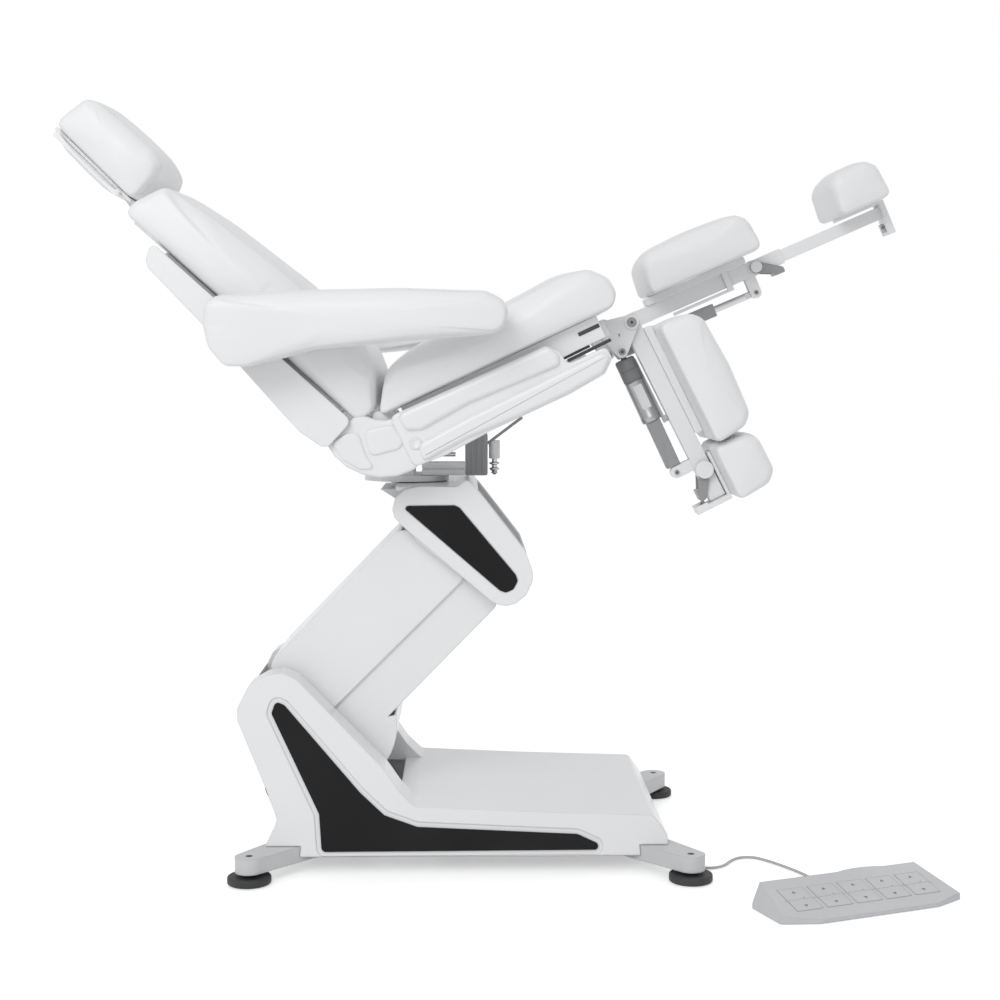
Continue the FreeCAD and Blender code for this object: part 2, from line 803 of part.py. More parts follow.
def make_head_frame():
    """Make the head's steel frame: two plates, a top plate and the core under the swivel."""
    pieces = []
    top_plate_low = core_bottom + frame_plate
    to_front = head_front_pivot - head_main_pivot
    for side in (-1, 1):
        y_from, y_to = across(side, head_plate_half_gap, head_plate_half_gap + bracket_plate)
        pieces.append(link_plate(head_frame_view, [
            (0, 0, head_boss_radius),
            (to_front.x, to_front.z, head_boss_radius),
            (to_front.x / 3, top_plate_low - head_main_pivot.z - head_boss_radius / 2, head_boss_radius),
            (0, 0, head_boss_radius),
        ], y_from, y_to))
    half = head_plate_half_gap + bracket_plate
    core_start = swivel_x - turret_hub_diameter * 0.75
    core_end = core_start + core_length
    plate_start = head_main_pivot.x - head_boss_radius
    pieces.append(block(chair_side, plate_start, core_end, top_plate_low, top_plate_low + 2 * frame_plate,
                        -half, half))
    core = [(core_start, core_top), (core_start + core_chamfer, core_bottom), (core_end, core_bottom),
            (core_end, core_top)]
    pieces.append(slab(chair_side, core, -core_half_width, core_half_width))
    frame = joined(pieces)
    bore = Part.makeCylinder(turret_stub_diameter / 2 + pin_gap, turret_stub_length + overrun,
                             Vector(swivel_x, 0, core_top - turret_stub_length - running_gap))
    frame = frame.cut(bore)
    for pivot in (head_main_pivot, head_front_pivot):
        frame = frame.cut(cross_pin(chair_side, pivot.x, pivot.z, -half - overrun, half + overrun, pin_diameter))
    reach = half + running_gap
    pins = [cross_pin(chair_side, pivot.x, pivot.z, -reach, reach, pin_diameter)
            for pivot in (head_main_pivot, head_front_pivot)]
    save("head_frame", Part.makeCompound([frame] + pins))


def head_inlays(stand, growth):
    """Make the two black inlays of the head, or their recesses."""
    outline = spread(head_inlay_shares, head_length, head_height)
    pieces = []
    for side in (-1, 1):
        y_from, y_to = across(side, head_half_width - inlay_depth, head_half_width + stand + growth)
        corners = [head_frame_view.point(u, v, y_from) for u, v in outline]
        face = Part.Face(outline_wire(corners, inlay_corner))
        if growth > 0:
            face = face.makeOffset2D(growth)
        pieces.append(face.extrude(Vector(0, y_to - y_from, 0)))
    return Part.makeCompound(pieces)


def make_head_cover():
    """Make the head's moulded cover: two cheeks and the panel between them."""
    outline = spread(head_side_shares, head_length, head_height)
    cover = slab(head_frame_view, outline, -head_half_width, head_half_width, head_corner)
    corners = [head_frame_view.point(u, v, 0) for u, v in outline]
    inner_face = Part.Face(outline_wire(corners, head_corner)).makeOffset2D(-head_wall)
    reach = head_half_width - head_wall
    inner = inner_face.extrude(Vector(0, 2 * reach, 0))
    inner.translate(Vector(0, -reach, 0))
    cover = cover.cut(inner)
    slot_top = head_panel_underside
    low = head_front_pivot.z - head_height
    start = head_main_pivot.x - head_length
    slot_half = head_plate_half_gap + bracket_plate + panel_gap
    cover = cover.cut(block(chair_side, start, start + 3 * head_length, low, slot_top, -slot_half, slot_half))
    panel_start = head_main_pivot.x + outline[1][0]
    panel_end = head_main_pivot.x + outline[4][0]
    panel = block(chair_side, panel_start, panel_end, head_panel_underside, head_panel_top, -reach, reach)
    hole = Part.makeCylinder(turret_hub_diameter / 2 + panel_gap, head_height,
                             Vector(swivel_x, 0, head_panel_underside - running_gap))
    cover = cover.fuse(panel).cut(hole)
    cover = cover.cut(head_inlays(overrun, panel_gap))
    save("head_cover", cover.removeSplitter())
    save("head_side_panels", head_inlays(inlay_stand, 0))


# Swivel platform and tilt actuator

def make_swivel_platform():
    """Make the round platform that swivels on the head and carries the tilt pivot."""
    base_level = core_top + seat_gap
    stub = Part.makeCylinder(turret_stub_diameter / 2, turret_stub_length, Vector(swivel_x, 0, base_level) -
                             Vector(0, 0, turret_stub_length))
    hub_height = head_panel_top + 2 * panel_gap - base_level
    hub = Part.makeCylinder(turret_hub_diameter / 2, hub_height, Vector(swivel_x, 0, base_level))
    plate_low = base_level + hub_height
    plate = Part.makeCylinder(turret_diameter / 2, turret_thickness, Vector(swivel_x, 0, plate_low))
    plate_top = plate_low + turret_thickness
    pieces = [stub, hub, plate]
    for side in (-1, 1):
        y_from, y_to = across(side, tilt_upright_half_gap, tilt_upright_half_gap + tilt_upright_plate)
        upright = link_plate(chair_side, [
            (tilt_pivot.x, tilt_pivot.z, tilt_upright_radius),
            (tilt_pivot.x, plate_top + tilt_upright_radius, tilt_upright_radius),
        ], y_from, y_to)
        foot = block(chair_side, tilt_pivot.x - tilt_upright_radius, tilt_pivot.x + tilt_upright_radius,
                     plate_low, plate_top + tilt_upright_radius, y_from, y_to)
        pieces.append(upright.fuse(foot))
    reach = tilt_upright_half_gap + tilt_upright_plate + running_gap
    pieces.append(cross_pin(chair_side, tilt_pivot.x, tilt_pivot.z, -reach, reach, tilt_pin_diameter))
    save("swivel_platform", joined(pieces))
    return plate_top


platform_top = core_top + seat_gap + (head_panel_top + 2 * panel_gap - core_top - seat_gap) + turret_thickness
tilt_pin_low_z = tilt_pivot_z - tilt_lever


def make_tilt_actuator():
    """Make the tilt actuator that lies on the platform: rail, gear housing, motor and cable guide."""
    floor = platform_top
    y_from = tilt_rail_y - tilt_rail_width / 2
    y_to = tilt_rail_y + tilt_rail_width / 2
    start = tilt_rail_start_x
    end = start + tilt_rail_length
    rail = block(chair_side, start, end, floor, floor + tilt_rail_height, y_from, y_to)
    middle = floor + tilt_rail_height / 2
    for y_face in (y_from, y_to):
        groove = block(chair_side, start - overrun, end + overrun, middle - tilt_groove / 2, middle + tilt_groove / 2,
                       y_face - tilt_groove / 2, y_face + tilt_groove / 2)
        rail = rail.cut(groove)
    housing = block(chair_side, end, end + gear_length, floor, floor + gear_height, y_from, y_to, tilt_groove)
    motor_x = end + gear_length + motor_diameter / 2 - tilt_groove
    motor = Part.makeCylinder(motor_diameter / 2, motor_height,
                              Vector(motor_x, tilt_rail_y, floor + tilt_rail_height - tilt_groove))
    saddle = block(chair_side, end + gear_length - tilt_groove, motor_x, floor + tilt_rail_height,
                   floor + tilt_rail_height + motor_diameter, tilt_rail_y - tilt_groove, tilt_rail_y + tilt_groove)
    guide_view = SideFrame(end + gear_length - guide_thickness, floor + gear_height - guide_width, guide_angle)
    guide = block(guide_view, 0, guide_length, 0, guide_thickness, tilt_rail_y - guide_width / 2,
                  tilt_rail_y + guide_width / 2)
    whole = joined([rail, housing, motor, saddle, guide])
    for offset in (-tilt_rod_spacing / 2, tilt_rod_spacing / 2):
        place = Vector(start, tilt_rail_y + offset, tilt_pin_low_z)
        whole = whole.cut(rod(place, place + Vector(tilt_rail_length + gear_length / 2, 0, 0),
                              tilt_rod_diameter + 2 * pin_gap))
    save("tilt_actuator", whole)
    slider = block(chair_side, tilt_pivot.x - crosshead_length / 2, tilt_pivot.x + crosshead_length / 2,
                   tilt_pin_low_z - crosshead_height / 2, tilt_pin_low_z + crosshead_height / 2,
                   -crosshead_half_width, crosshead_half_width)
    slot_half = clevis_pin_diameter / 2 + panel_gap
    slot = block(chair_side, tilt_pivot.x - slot_half, tilt_pivot.x + slot_half,
                 tilt_pin_low_z - 2 * slot_half, tilt_pin_low_z + 2 * slot_half,
                 -crosshead_half_width, crosshead_half_width)
    arm_start = tilt_pivot.x + crosshead_length / 2
    yoke_end = tilt_rail_y - tilt_rod_spacing / 2 - tilt_rod_diameter
    yoke = block(chair_side, arm_start, arm_start + tilt_rod_diameter, tilt_pin_low_z - tilt_rod_diameter,
                 tilt_pin_low_z + tilt_rod_diameter, yoke_end, crosshead_half_width)
    pieces = [slider, yoke]
    for offset in (-tilt_rod_spacing / 2, tilt_rod_spacing / 2):
        place = Vector(arm_start, tilt_rail_y + offset, tilt_pin_low_z)
        pieces.append(rod(place, place + Vector(tilt_rail_length, 0, 0), tilt_rod_diameter))
    save("tilt_crosshead", joined(pieces).cut(slot))


# Seat

seat_cushion_shares = (
    (0.009, 0.2), (0.04, 0.6), (0.13, 0.88), (0.26, 0.98), (0.62, 0.98), (0.86, 1.04), (0.955, 0.94), (1.01, 0.6),
    (1.015, 0.24), (0.98, 0.0), (0.012, 0.0),
)
seat_cover_shares = (
    (0.21, -0.12), (0.79, -0.12), (0.83, -0.3), (0.84, -0.55), (1.03, -0.55), (1.03, -0.78), (0.97, -0.98),
    (0.8, -1.04), (0.42, -1.04), (0.2, -1.09), (0.19, -0.9),
)
bolt_head_share = 1.8
side_turn_shares = (0.0, 0.33, 0.67, 1.0)
crown_place_shares = (0.66, 0.33)
quarter_turn = 90.0


def cushion(view, shares, length, depth, y_from, y_to, lift=0.0):
    """Loft a cushion across the chair, with drawn-in sides and a crown."""
    middle_y = (y_from + y_to) / 2
    half = (y_to - y_from) / 2
    outline = [(u, v + lift) for u, v in spread(shares, length, depth)]
    us = [u for u, v in outline]
    vs = [v for u, v in outline]
    centre_u = (min(us) + max(us)) / 2
    centre_v = (min(vs) + max(vs)) / 2
    half_u = (max(us) - min(us)) / 2
    half_v = (max(vs) - min(vs)) / 2
    low_v = min(vs)
    stations = []
    for turn_share in side_turn_shares:
        turn = math.radians(quarter_turn * turn_share)
        inward = cushion_side_radius * (1 - math.cos(turn))
        draw = cushion_side_draw * (1 - math.sin(turn))
        stations.append((inward - half, draw, 0.0))
    flat = half - cushion_side_radius
    for width_share in crown_place_shares:
        rise = math.cos(math.radians(quarter_turn * width_share))
        stations.append((-flat * width_share, 0.0, cushion_crown * rise))
    stations += [(-offset, draw, crown) for offset, draw, crown in reversed(stations)]
    stations.insert(len(stations) // 2, (0.0, 0.0, cushion_crown))
    wires = []
    for offset, draw, crown in stations:
        u_scale = 1 - draw / half_u
        v_scale = 1 - draw / half_v + crown / (2 * half_v)
        corners = []
        for u, v in outline:
            new_u = centre_u + (u - centre_u) * u_scale
            new_v = centre_v + (v - centre_v) * (1 - draw / half_v)
            if crown > 0:
                new_v = low_v + (v - low_v) * v_scale
            corners.append(view.point(new_u, new_v, middle_y + offset))
        wires.append(outline_wire(corners, cushion_corner))
    return Part.makeLoft(wires, True, True)


def hinge_pocket():
    """Make the pockets in the cushions' undersides round the hinge plates."""
    pieces = []
    inner = hinge_seat_half_gap - hinge_plate - 3 * panel_gap
    outer = hinge_seat_half_gap + hinge_plate + panel_gap
    for side in (-1, 1):
        y_from, y_to = across(side, inner, outer)
        pieces.append(cross_pin(seat_view, 0, 0, y_from, y_to, 2 * hinge_pocket_radius))
    return Part.makeCompound(pieces)


def past_meeting(sign):
    """Make the space on one side of the plane where the seat and back cushions meet."""
    view = SideFrame(hinge.x, hinge.z, (seat_angle + back_angle) / 2)
    reach = seat_half_width + overrun
    near, far = sorted((-sign * meeting_gap / 2, sign * back_length))
    return block(view, -seat_length, seat_length, near, far, -reach, reach)


def make_seat_frame():
    """Make the seat's steel frame with its tilt lugs and hinge plates."""
    pieces = []
    low = frame_rail_top - frame_rail_depth
    for side in (-1, 1):
        y_from, y_to = across(side, frame_rail_half_gap, frame_rail_half_gap + frame_rail_width)
        pieces.append(block(seat_view, seat_rail_start, seat_rail_end, low, frame_rail_top, y_from, y_to))
        y_from, y_to = across(side, hinge_seat_half_gap, hinge_seat_half_gap + hinge_plate)
        pieces.append(link_plate(seat_view, [
            (0, 0, hinge_nose_radius),
            (frame_rail_width / 3, low, frame_rail_width / 2),
            (seat_rail_start + frame_rail_width, low + frame_rail_depth / 2, frame_rail_depth / 2),
        ], y_from, y_to))
        y_from, y_to = across(side, frame_rail_half_gap + frame_rail_width / 2, hinge_seat_half_gap + hinge_plate)
        pieces.append(block(seat_view, seat_rail_start + frame_rail_width / 2, seat_rail_start + 2 * frame_rail_width,
                            low, frame_rail_top, y_from, y_to))
        y_from, y_to = across(side, tilt_lug_half_gap, tilt_lug_half_gap + hinge_plate)
        pivot_u, pivot_v = seat_view.local(tilt_pivot)
        pin_u, pin_v = seat_view.local(Vector(tilt_pivot.x, 0, tilt_pin_low_z))
        tie_u = seat_tie_shares[0] * seat_length
        pieces.append(link_plate(seat_view, [
            (pin_u, pin_v, clevis_pin_diameter), (pivot_u, pivot_v, tilt_pin_diameter),
            (tie_u, low + frame_rail_depth / 2, frame_rail_depth / 2),
        ], y_from, y_to))
    for share in seat_tie_shares:
        middle = share * seat_length
        reach = frame_rail_half_gap
        pieces.append(block(seat_view, middle - frame_rail_depth / 2, middle + frame_rail_depth / 2, low,
                            frame_rail_top, -reach, reach))
    knee_u, knee_v = seat_view.local(knee)
    front_tie = seat_tie_shares[2] * seat_length
    pins = []
    for centre in (-leg_centre, leg_centre):
        for sign in (-1, 1):
            inner = leg_tube_size / 2 + knee_plate_gap
            y_from, y_to = sorted((centre + sign * inner, centre + sign * (inner + knee_plate)))
            pieces.append(link_plate(seat_view, [
                (front_tie, low + frame_rail_depth / 2, frame_rail_depth / 2), (knee_u, knee_v, knee_pin_diameter),
                (actuator_pin_u, actuator_pin_v, actuator_eye_diameter / 2),
                (front_tie + frame_rail_depth / 2, low + frame_rail_depth / 2, frame_rail_depth / 2),
            ], y_from, y_to))
        reach = leg_tube_size / 2 + knee_plate_gap + knee_plate
        for u, v, size in ((knee_u, knee_v, knee_pin_diameter), (actuator_pin_u, actuator_pin_v, actuator_pin_diameter)):
            pins.append(cross_pin(seat_view, u, v, centre - reach - knee_plate, centre + reach + knee_plate, size))
            for sign in (-1, 1):
                y_from, y_to = sorted((centre + sign * reach, centre + sign * (reach + knee_plate)))
                pins.append(cross_pin(seat_view, u, v, y_from, y_to, size * bolt_head_share))
    mount_half = recline_body_diameter / 2
    for offset in (-mount_half - hinge_plate, mount_half):
        pieces.append(link_plate(seat_view, [
            (recline_mount_u, recline_mount_v, clevis_pin_diameter),
            (seat_tie_shares[1] * seat_length, low + frame_rail_depth / 2, frame_rail_depth / 2),
        ], recline_y + offset, recline_y + offset + hinge_plate))
    pin_u, pin_v = seat_view.local(Vector(tilt_pivot.x, 0, tilt_pin_low_z))
    clevis = cross_pin(seat_view, pin_u, pin_v, -tilt_lug_half_gap - hinge_plate, tilt_lug_half_gap + hinge_plate,
                       clevis_pin_diameter)
    frame = joined(pieces + [clevis] + pins)
    reach = tilt_upright_half_gap + overrun
    pivot_u, pivot_v = seat_view.local(tilt_pivot)
    frame = frame.cut(cross_pin(seat_view, pivot_u, pivot_v, -reach, reach, tilt_pin_diameter + 2 * pin_gap))
    pin_reach = mount_half + hinge_plate
    frame = frame.fuse(cross_pin(seat_view, recline_mount_u, recline_mount_v, recline_y - pin_reach,
                                 recline_y + pin_reach, clevis_pin_diameter))
    for side in (-1, 1):
        y_from, y_to = across(side, hinge_seat_half_gap - hinge_plate - 2 * running_gap,
                              hinge_seat_half_gap + hinge_plate)
        frame = frame.fuse(cross_pin(seat_view, 0, 0, y_from, y_to, hinge_pin_diameter))
    save("seat_frame", Part.makeCompound([frame.removeSplitter(), seat_board()]))


def make_seat_cushion():
    """Make the upholstered seat."""
    body = cushion(seat_view, seat_cushion_shares, seat_length, seat_thickness, -seat_half_width, seat_half_width,
                   cushion_lift)
    save("seat_cushion", body.cut(hinge_pocket()).cut(past_meeting(1)))


def make_seat_side_covers():
    """Make the two moulded side covers of the seat with their round knuckles."""
    outline = spread(seat_cover_shares, shell_length, shell_depth)
    covers = []
    knuckle_from = shell_outer_half_width - shell_layer - knuckle_layer
    knuckle_to = shell_outer_half_width - shell_layer - running_gap
    for side in (-1, 1):
        y_from, y_to = across(side, knuckle_to - running_gap, shell_outer_half_width)
        outer = slab(seat_view, outline, y_from, y_to, shell_corner)
        y_from, y_to = across(side, knuckle_from, knuckle_to)
        disc = cross_pin(seat_view, 0, 0, y_from, y_to, 2 * knuckle_radius)
        limit = 2 * knuckle_radius
        above = block(seat_view, -limit, limit, frame_rail_top - panel_gap, limit, y_from, y_to)
        behind_view = SideFrame(hinge.x, hinge.z, back_angle + recline_range, -1)
        behind = block(behind_view, -hinge_nose_radius, limit, back_seam - panel_gap, limit, y_from, y_to)
        disc = disc.cut(above).cut(behind)
        band = [(0, frame_rail_top - panel_gap), (outline[2][0], frame_rail_top - panel_gap),
                (outline[2][0], -shell_depth * half_share), (0, -shell_depth)]
        band_slab = slab(seat_view, band, y_from, y_to)
        y_from, y_to = across(side, knuckle_to - running_gap, knuckle_to + knuckle_block_stand)
        boss = block(seat_view, -knuckle_block * half_share, knuckle_block * half_share,
                     frame_rail_top - knuckle_block, frame_rail_top - panel_gap, y_from, y_to, shell_corner / 2)
        covers.append(joined([outer, disc, band_slab, boss]))
    save("seat_side_covers", Part.makeCompound(covers))


def make_recline_actuator():
    """Make the recline actuator between the seat frame and the back frame's lever."""
    start = seat_view.point(recline_mount_u, recline_mount_v, recline_y)
    end = back_view.point(recline_lever * math.cos(math.radians(recline_lever_angle)),
                          -recline_lever * math.sin(math.radians(recline_lever_angle)), recline_y)
    run = end - start
    length = run.Length
    run.normalize()
    eye_half = recline_body_diameter / 2 - running_gap
    eye = Part.makeCylinder(clevis_pin_diameter, 2 * eye_half, start - Vector(0, eye_half, 0), Vector(0, 1, 0))
    neck = rod(start, start + run * 2 * overrun, clevis_pin_diameter)
    body = rod(start + run * overrun, start + run * recline_body_length, recline_body_diameter)
    whole = joined([eye, neck, body])
    whole = whole.cut(Part.makeCylinder(clevis_pin_diameter / 2 + pin_gap, 2 * eye_half + overrun,
                                        start - Vector(0, eye_half + overrun / 2, 0), Vector(0, 1, 0)))
    bore_start = start + run * 2 * overrun
    tip = start + run * (length - recline_rod_short)
    whole = whole.cut(rod(bore_start, tip, recline_rod_diameter + 2 * pin_gap))
    save("recline_actuator_body", whole)
    shaft_start = start + run * (recline_body_length / 2 + overrun)
    save("recline_actuator_rod", rod(shaft_start, tip, recline_rod_diameter))



# Back

back_cushion_shares = (
    (0.022, 0.1), (0.09, 0.72), (0.185, 1.12), (0.507, 1.12), (0.804, 0.96), (0.978, 0.76), (1.018, -0.08),
    (1.012, -0.42), (0.05, -0.44), (0.03, -0.2),
)
back_shell_shares = (
    (0.055, -0.34), (0.055, -0.93), (0.071, -1.02), (0.153, -1.08), (0.618, -0.8), (0.838, -0.71),
    (0.86, -0.64), (0.887, -0.34),
)
back_tie_depth_share = 0.5


def make_back_frame():
    """Make the back's steel frame with its hinge plates and the recline lever."""
    pieces = []
    low = back_rail_top - back_rail_depth
    tie_top = low + back_rail_depth * back_tie_depth_share
    for side in (-1, 1):
        y_from, y_to = across(side, frame_rail_half_gap, frame_rail_half_gap + frame_rail_width)
        pieces.append(block(back_view, back_rail_start, back_rail_end, low, back_rail_top, y_from, y_to))
        plate_to = hinge_seat_half_gap - running_gap
        y_from, y_to = across(side, plate_to - hinge_plate, plate_to)
        pieces.append(link_plate(back_view, [
            (0, 0, hinge_nose_radius),
            (hinge_nose_radius, (low + back_rail_top) / 2, back_rail_depth / 2),
            (back_rail_start + back_rail_depth, (low + back_rail_top) / 2, back_rail_depth / 2),
        ], y_from, y_to))
    for share in back_tie_shares:
        middle = share * back_rail_end
        pieces.append(block(back_view, middle - back_rail_depth / 2, middle + back_rail_depth / 2, low, tie_top,
                            -frame_rail_half_gap, frame_rail_half_gap))
    lever_turn = math.radians(recline_lever_angle)
    lever_u = recline_lever * math.cos(lever_turn)
    lever_v = -recline_lever * math.sin(lever_turn)
    first_tie = back_tie_shares[0] * back_rail_end
    eye_half = recline_rod_diameter / 2 + running_gap
    for y_start in (recline_y - eye_half - hinge_plate, recline_y + eye_half):
        pieces.append(link_plate(back_view, [
            (lever_u, lever_v, clevis_pin_diameter), (first_tie, (low + tie_top) / 2, back_rail_depth / 4),
        ], y_start, y_start + hinge_plate))
    for side in (-1, 1):
        bolt_y = across(side, frame_rail_half_gap + frame_rail_width / 2, arm_pad_half_gap - panel_gap)
        pieces.append(cross_pin(back_view, arm_pivot_u, arm_pivot_v, bolt_y[0], bolt_y[1], arm_pivot_diameter))
        root_y = across(side, frame_rail_half_gap, frame_rail_half_gap + frame_rail_width)
        pieces.append(block(back_view, arm_pivot_u - arm_pivot_diameter, arm_pivot_u + arm_pivot_diameter,
                            arm_pivot_v - arm_pivot_diameter / 2 - panel_gap, low, root_y[0], root_y[1]))
    frame = joined(pieces)
    reach = hinge_seat_half_gap
    frame = frame.cut(cross_pin(back_view, 0, 0, -reach, reach, hinge_pin_diameter + 2 * pin_gap))
    save("back_frame", Part.makeCompound([frame, back_board()]))


def make_back_shell():
    """Make the moulded back shell, open towards the cushion and round the hinge."""
    outline = spread(back_shell_shares, back_length, shell_depth)
    shell = slab(back_view, outline, -shell_outer_half_width, shell_outer_half_width, shell_corner)
    reach = shell_outer_half_width - back_shell_wall
    corners = [back_view.point(u, v, -reach) for u, v in outline]
    inner = Part.Face(outline_wire(corners, shell_corner)).makeOffset2D(-back_shell_wall)
    shell = shell.cut(inner.extrude(Vector(0, 2 * reach, 0)))
    top = outline[0][1]
    shell = shell.cut(block(back_view, outline[0][0] + back_shell_wall, outline[-1][0] - back_shell_wall,
                            top - 2 * back_shell_wall, top + overrun, -reach, reach))
    notch_half = hinge_seat_half_gap + panel_gap
    shell = shell.cut(block(back_view, 0, back_notch_length, -2 * shell_depth, 0, -notch_half, notch_half))
    post_half = headrest_post_width / 2 + panel_gap
    shell = shell.cut(block(back_view, outline[-2][0] - overrun, outline[-1][0] + overrun, post_low - panel_gap,
                            top + overrun, -post_half, post_half))
    for side in (-1, 1):
        y_from, y_to = across(side, shell_outer_half_width - shell_layer - knuckle_layer - panel_gap,
                              shell_outer_half_width - shell_layer + knuckle_block_stand + panel_gap)
        shell = shell.cut(cross_pin(back_view, 0, 0, y_from, y_to, 2 * (knuckle_radius + panel_gap)))
    shell = shell.cut(cross_pin(back_view, arm_pivot_u, arm_pivot_v, -shell_outer_half_width - overrun,
                                shell_outer_half_width + overrun, arm_pivot_diameter + 2 * panel_gap))
    save("back_shell", shell)


def make_back_cushion():
    """Make the upholstered back."""
    body = cushion(back_view, back_cushion_shares, back_length, back_thickness, -seat_half_width, seat_half_width)
    save("back_cushion", body.cut(hinge_pocket()).cut(past_meeting(-1)))


def seat_board():
    """Make the pan that carries the seat upholstery on its frame."""
    half = frame_rail_half_gap + frame_rail_width
    return block(seat_view, seat_rail_start, seat_rail_end, frame_rail_top + seat_gap, cushion_lift - seat_gap,
                 -half, half)


def back_board():
    """Make the pan that carries the back upholstery on its frame."""
    half = frame_rail_half_gap + frame_rail_width
    high = back_cushion_shares[-2][1] * back_thickness - seat_gap
    return block(back_view, back_rail_start, back_rail_end, back_rail_top + seat_gap, high, -half, half)


def make_back_lever():
    """Make the ribbed lever tab behind the back shell."""
    start = back_shell_shares[4]
    end = back_shell_shares[5]
    rise = (end[1] - start[1]) * shell_depth
    run = (end[0] - start[0]) * back_length
    place = back_view.point(back_lever_u, start[1] * shell_depth + rise * (back_lever_u - start[0] * back_length) / run)
    tab_view = SideFrame(place.x, place.z, back_angle - math.degrees(math.atan2(rise, run)), -1)
    low = -back_lever_gap - back_lever_thickness
    half = back_lever_width / 2
    tab = block(tab_view, 0, back_lever_length, low, -back_lever_gap, -half, half, back_lever_thickness / 3)
    hub = cross_pin(tab_view, back_lever_thickness, -back_lever_gap - seat_gap, -half, half,
                    2 * back_lever_gap)
    rib_width = back_lever_length / 16
    pieces = [tab, hub]
    for number in range(5):
        start_u = back_lever_length / 3 + 2 * number * rib_width
        pieces.append(block(tab_view, start_u, start_u + rib_width, low - back_lever_thickness / 4, low,
                            -half + back_lever_thickness, half - back_lever_thickness))
    save("back_lever", joined(pieces))


# Headrest

headrest_cushion_shares = (
    (0.165, 0.5), (0.2, 0.78), (0.3, 0.9), (0.55, 0.92), (0.85, 0.9), (0.955, 0.78), (1.0, -0.04), (0.18, -0.14),
)
post_low = back_seam - 2 * panel_gap - back_lever_gap - headrest_post_thickness
headrest_view = SideFrame(back_view.point(headrest_start, 0).x, back_view.point(headrest_start, 0).z, back_angle, -1)
tilt_hub_place = (headrest_tilt_u, headrest_tilt_v)


def make_headrest():
    """Make the headrest's cushion, its board with the hinge ears, and its sliding post."""
    body = cushion(headrest_view, headrest_cushion_shares, headrest_length, headrest_thickness,
                   -headrest_half_width, headrest_half_width)
    first = headrest_view.point(headrest_cushion_shares[-1][0] * headrest_length,
                                headrest_cushion_shares[-1][1] * headrest_thickness)
    last = headrest_view.point(headrest_cushion_shares[-2][0] * headrest_length,
                               headrest_cushion_shares[-2][1] * headrest_thickness)
    run = last - first
    board_view = SideFrame(first.x, first.z, math.degrees(math.atan2(run.z, run.x)), -1)
    length = run.Length
    top = -seat_gap
    half = headrest_half_width - cushion_side_radius
    board = block(board_view, headrest_board, length - headrest_board, top - headrest_board, top, -half, half,
                  headrest_board / 3)
    hub_half = headrest_post_width / 2
    hub_u, hub_v = headrest_tilt_u, headrest_tilt_v
    clear = headrest_hub_diameter / 2 + panel_gap
    board = board.cut(cross_pin(back_view, hub_u, hub_v, -hub_half - panel_gap, hub_half + panel_gap, 2 * clear))
    pieces = [board]
    for side in (-1, 1):
        y_from, y_to = across(side, hub_half + panel_gap, hub_half + panel_gap + headrest_board)
        ear = link_plate(back_view, [
            (hub_u, hub_v, headrest_hub_diameter / 2),
            (hub_u + 2 * headrest_hub_diameter, hub_v + headrest_board, headrest_board),
        ], y_from, y_to)
        pieces.append(ear.cut(body))
    reach = hub_half + panel_gap + headrest_board
    pieces.append(cross_pin(back_view, hub_u, hub_v, -reach, reach, headrest_board))
    save("headrest_board", joined(pieces))
    save("headrest_cushion", body)
    post_high = post_low + headrest_post_thickness
    plate = block(back_view, hub_u - headrest_post_length, hub_u - headrest_hub_diameter, post_low, post_high,
                  -hub_half, hub_half)
    hub = cross_pin(back_view, hub_u, hub_v, -hub_half, hub_half, headrest_hub_diameter)
    neck = link_plate(back_view, [
        (hub_u, hub_v, headrest_hub_diameter / 2 - panel_gap),
        (hub_u - headrest_hub_diameter, (post_low + post_high) / 2, headrest_post_thickness / 2),
    ], -hub_half, hub_half)
    post = joined([plate, hub, neck])
    save("headrest_post", post.cut(cross_pin(back_view, hub_u, hub_v, -hub_half - overrun, hub_half + overrun,
                                             headrest_board + 2 * pin_gap)))


# Armrests

arm_pad_shares = (
    (0.0, 0.55), (0.004, 0.83), (0.043, 0.91), (0.366, 0.98), (0.657, 1.0), (0.925, 0.97), (0.98, 0.87),
    (1.0, 0.75), (0.99, 0.54), (0.955, 0.45), (0.655, 0.36), (0.358, 0.24), (0.138, 0.02), (0.067, 0.02), (0.016, 0.27),
)
arm_strip_shares = ((0.16, -0.06), (0.709, 0.28), (0.878, 0.35))


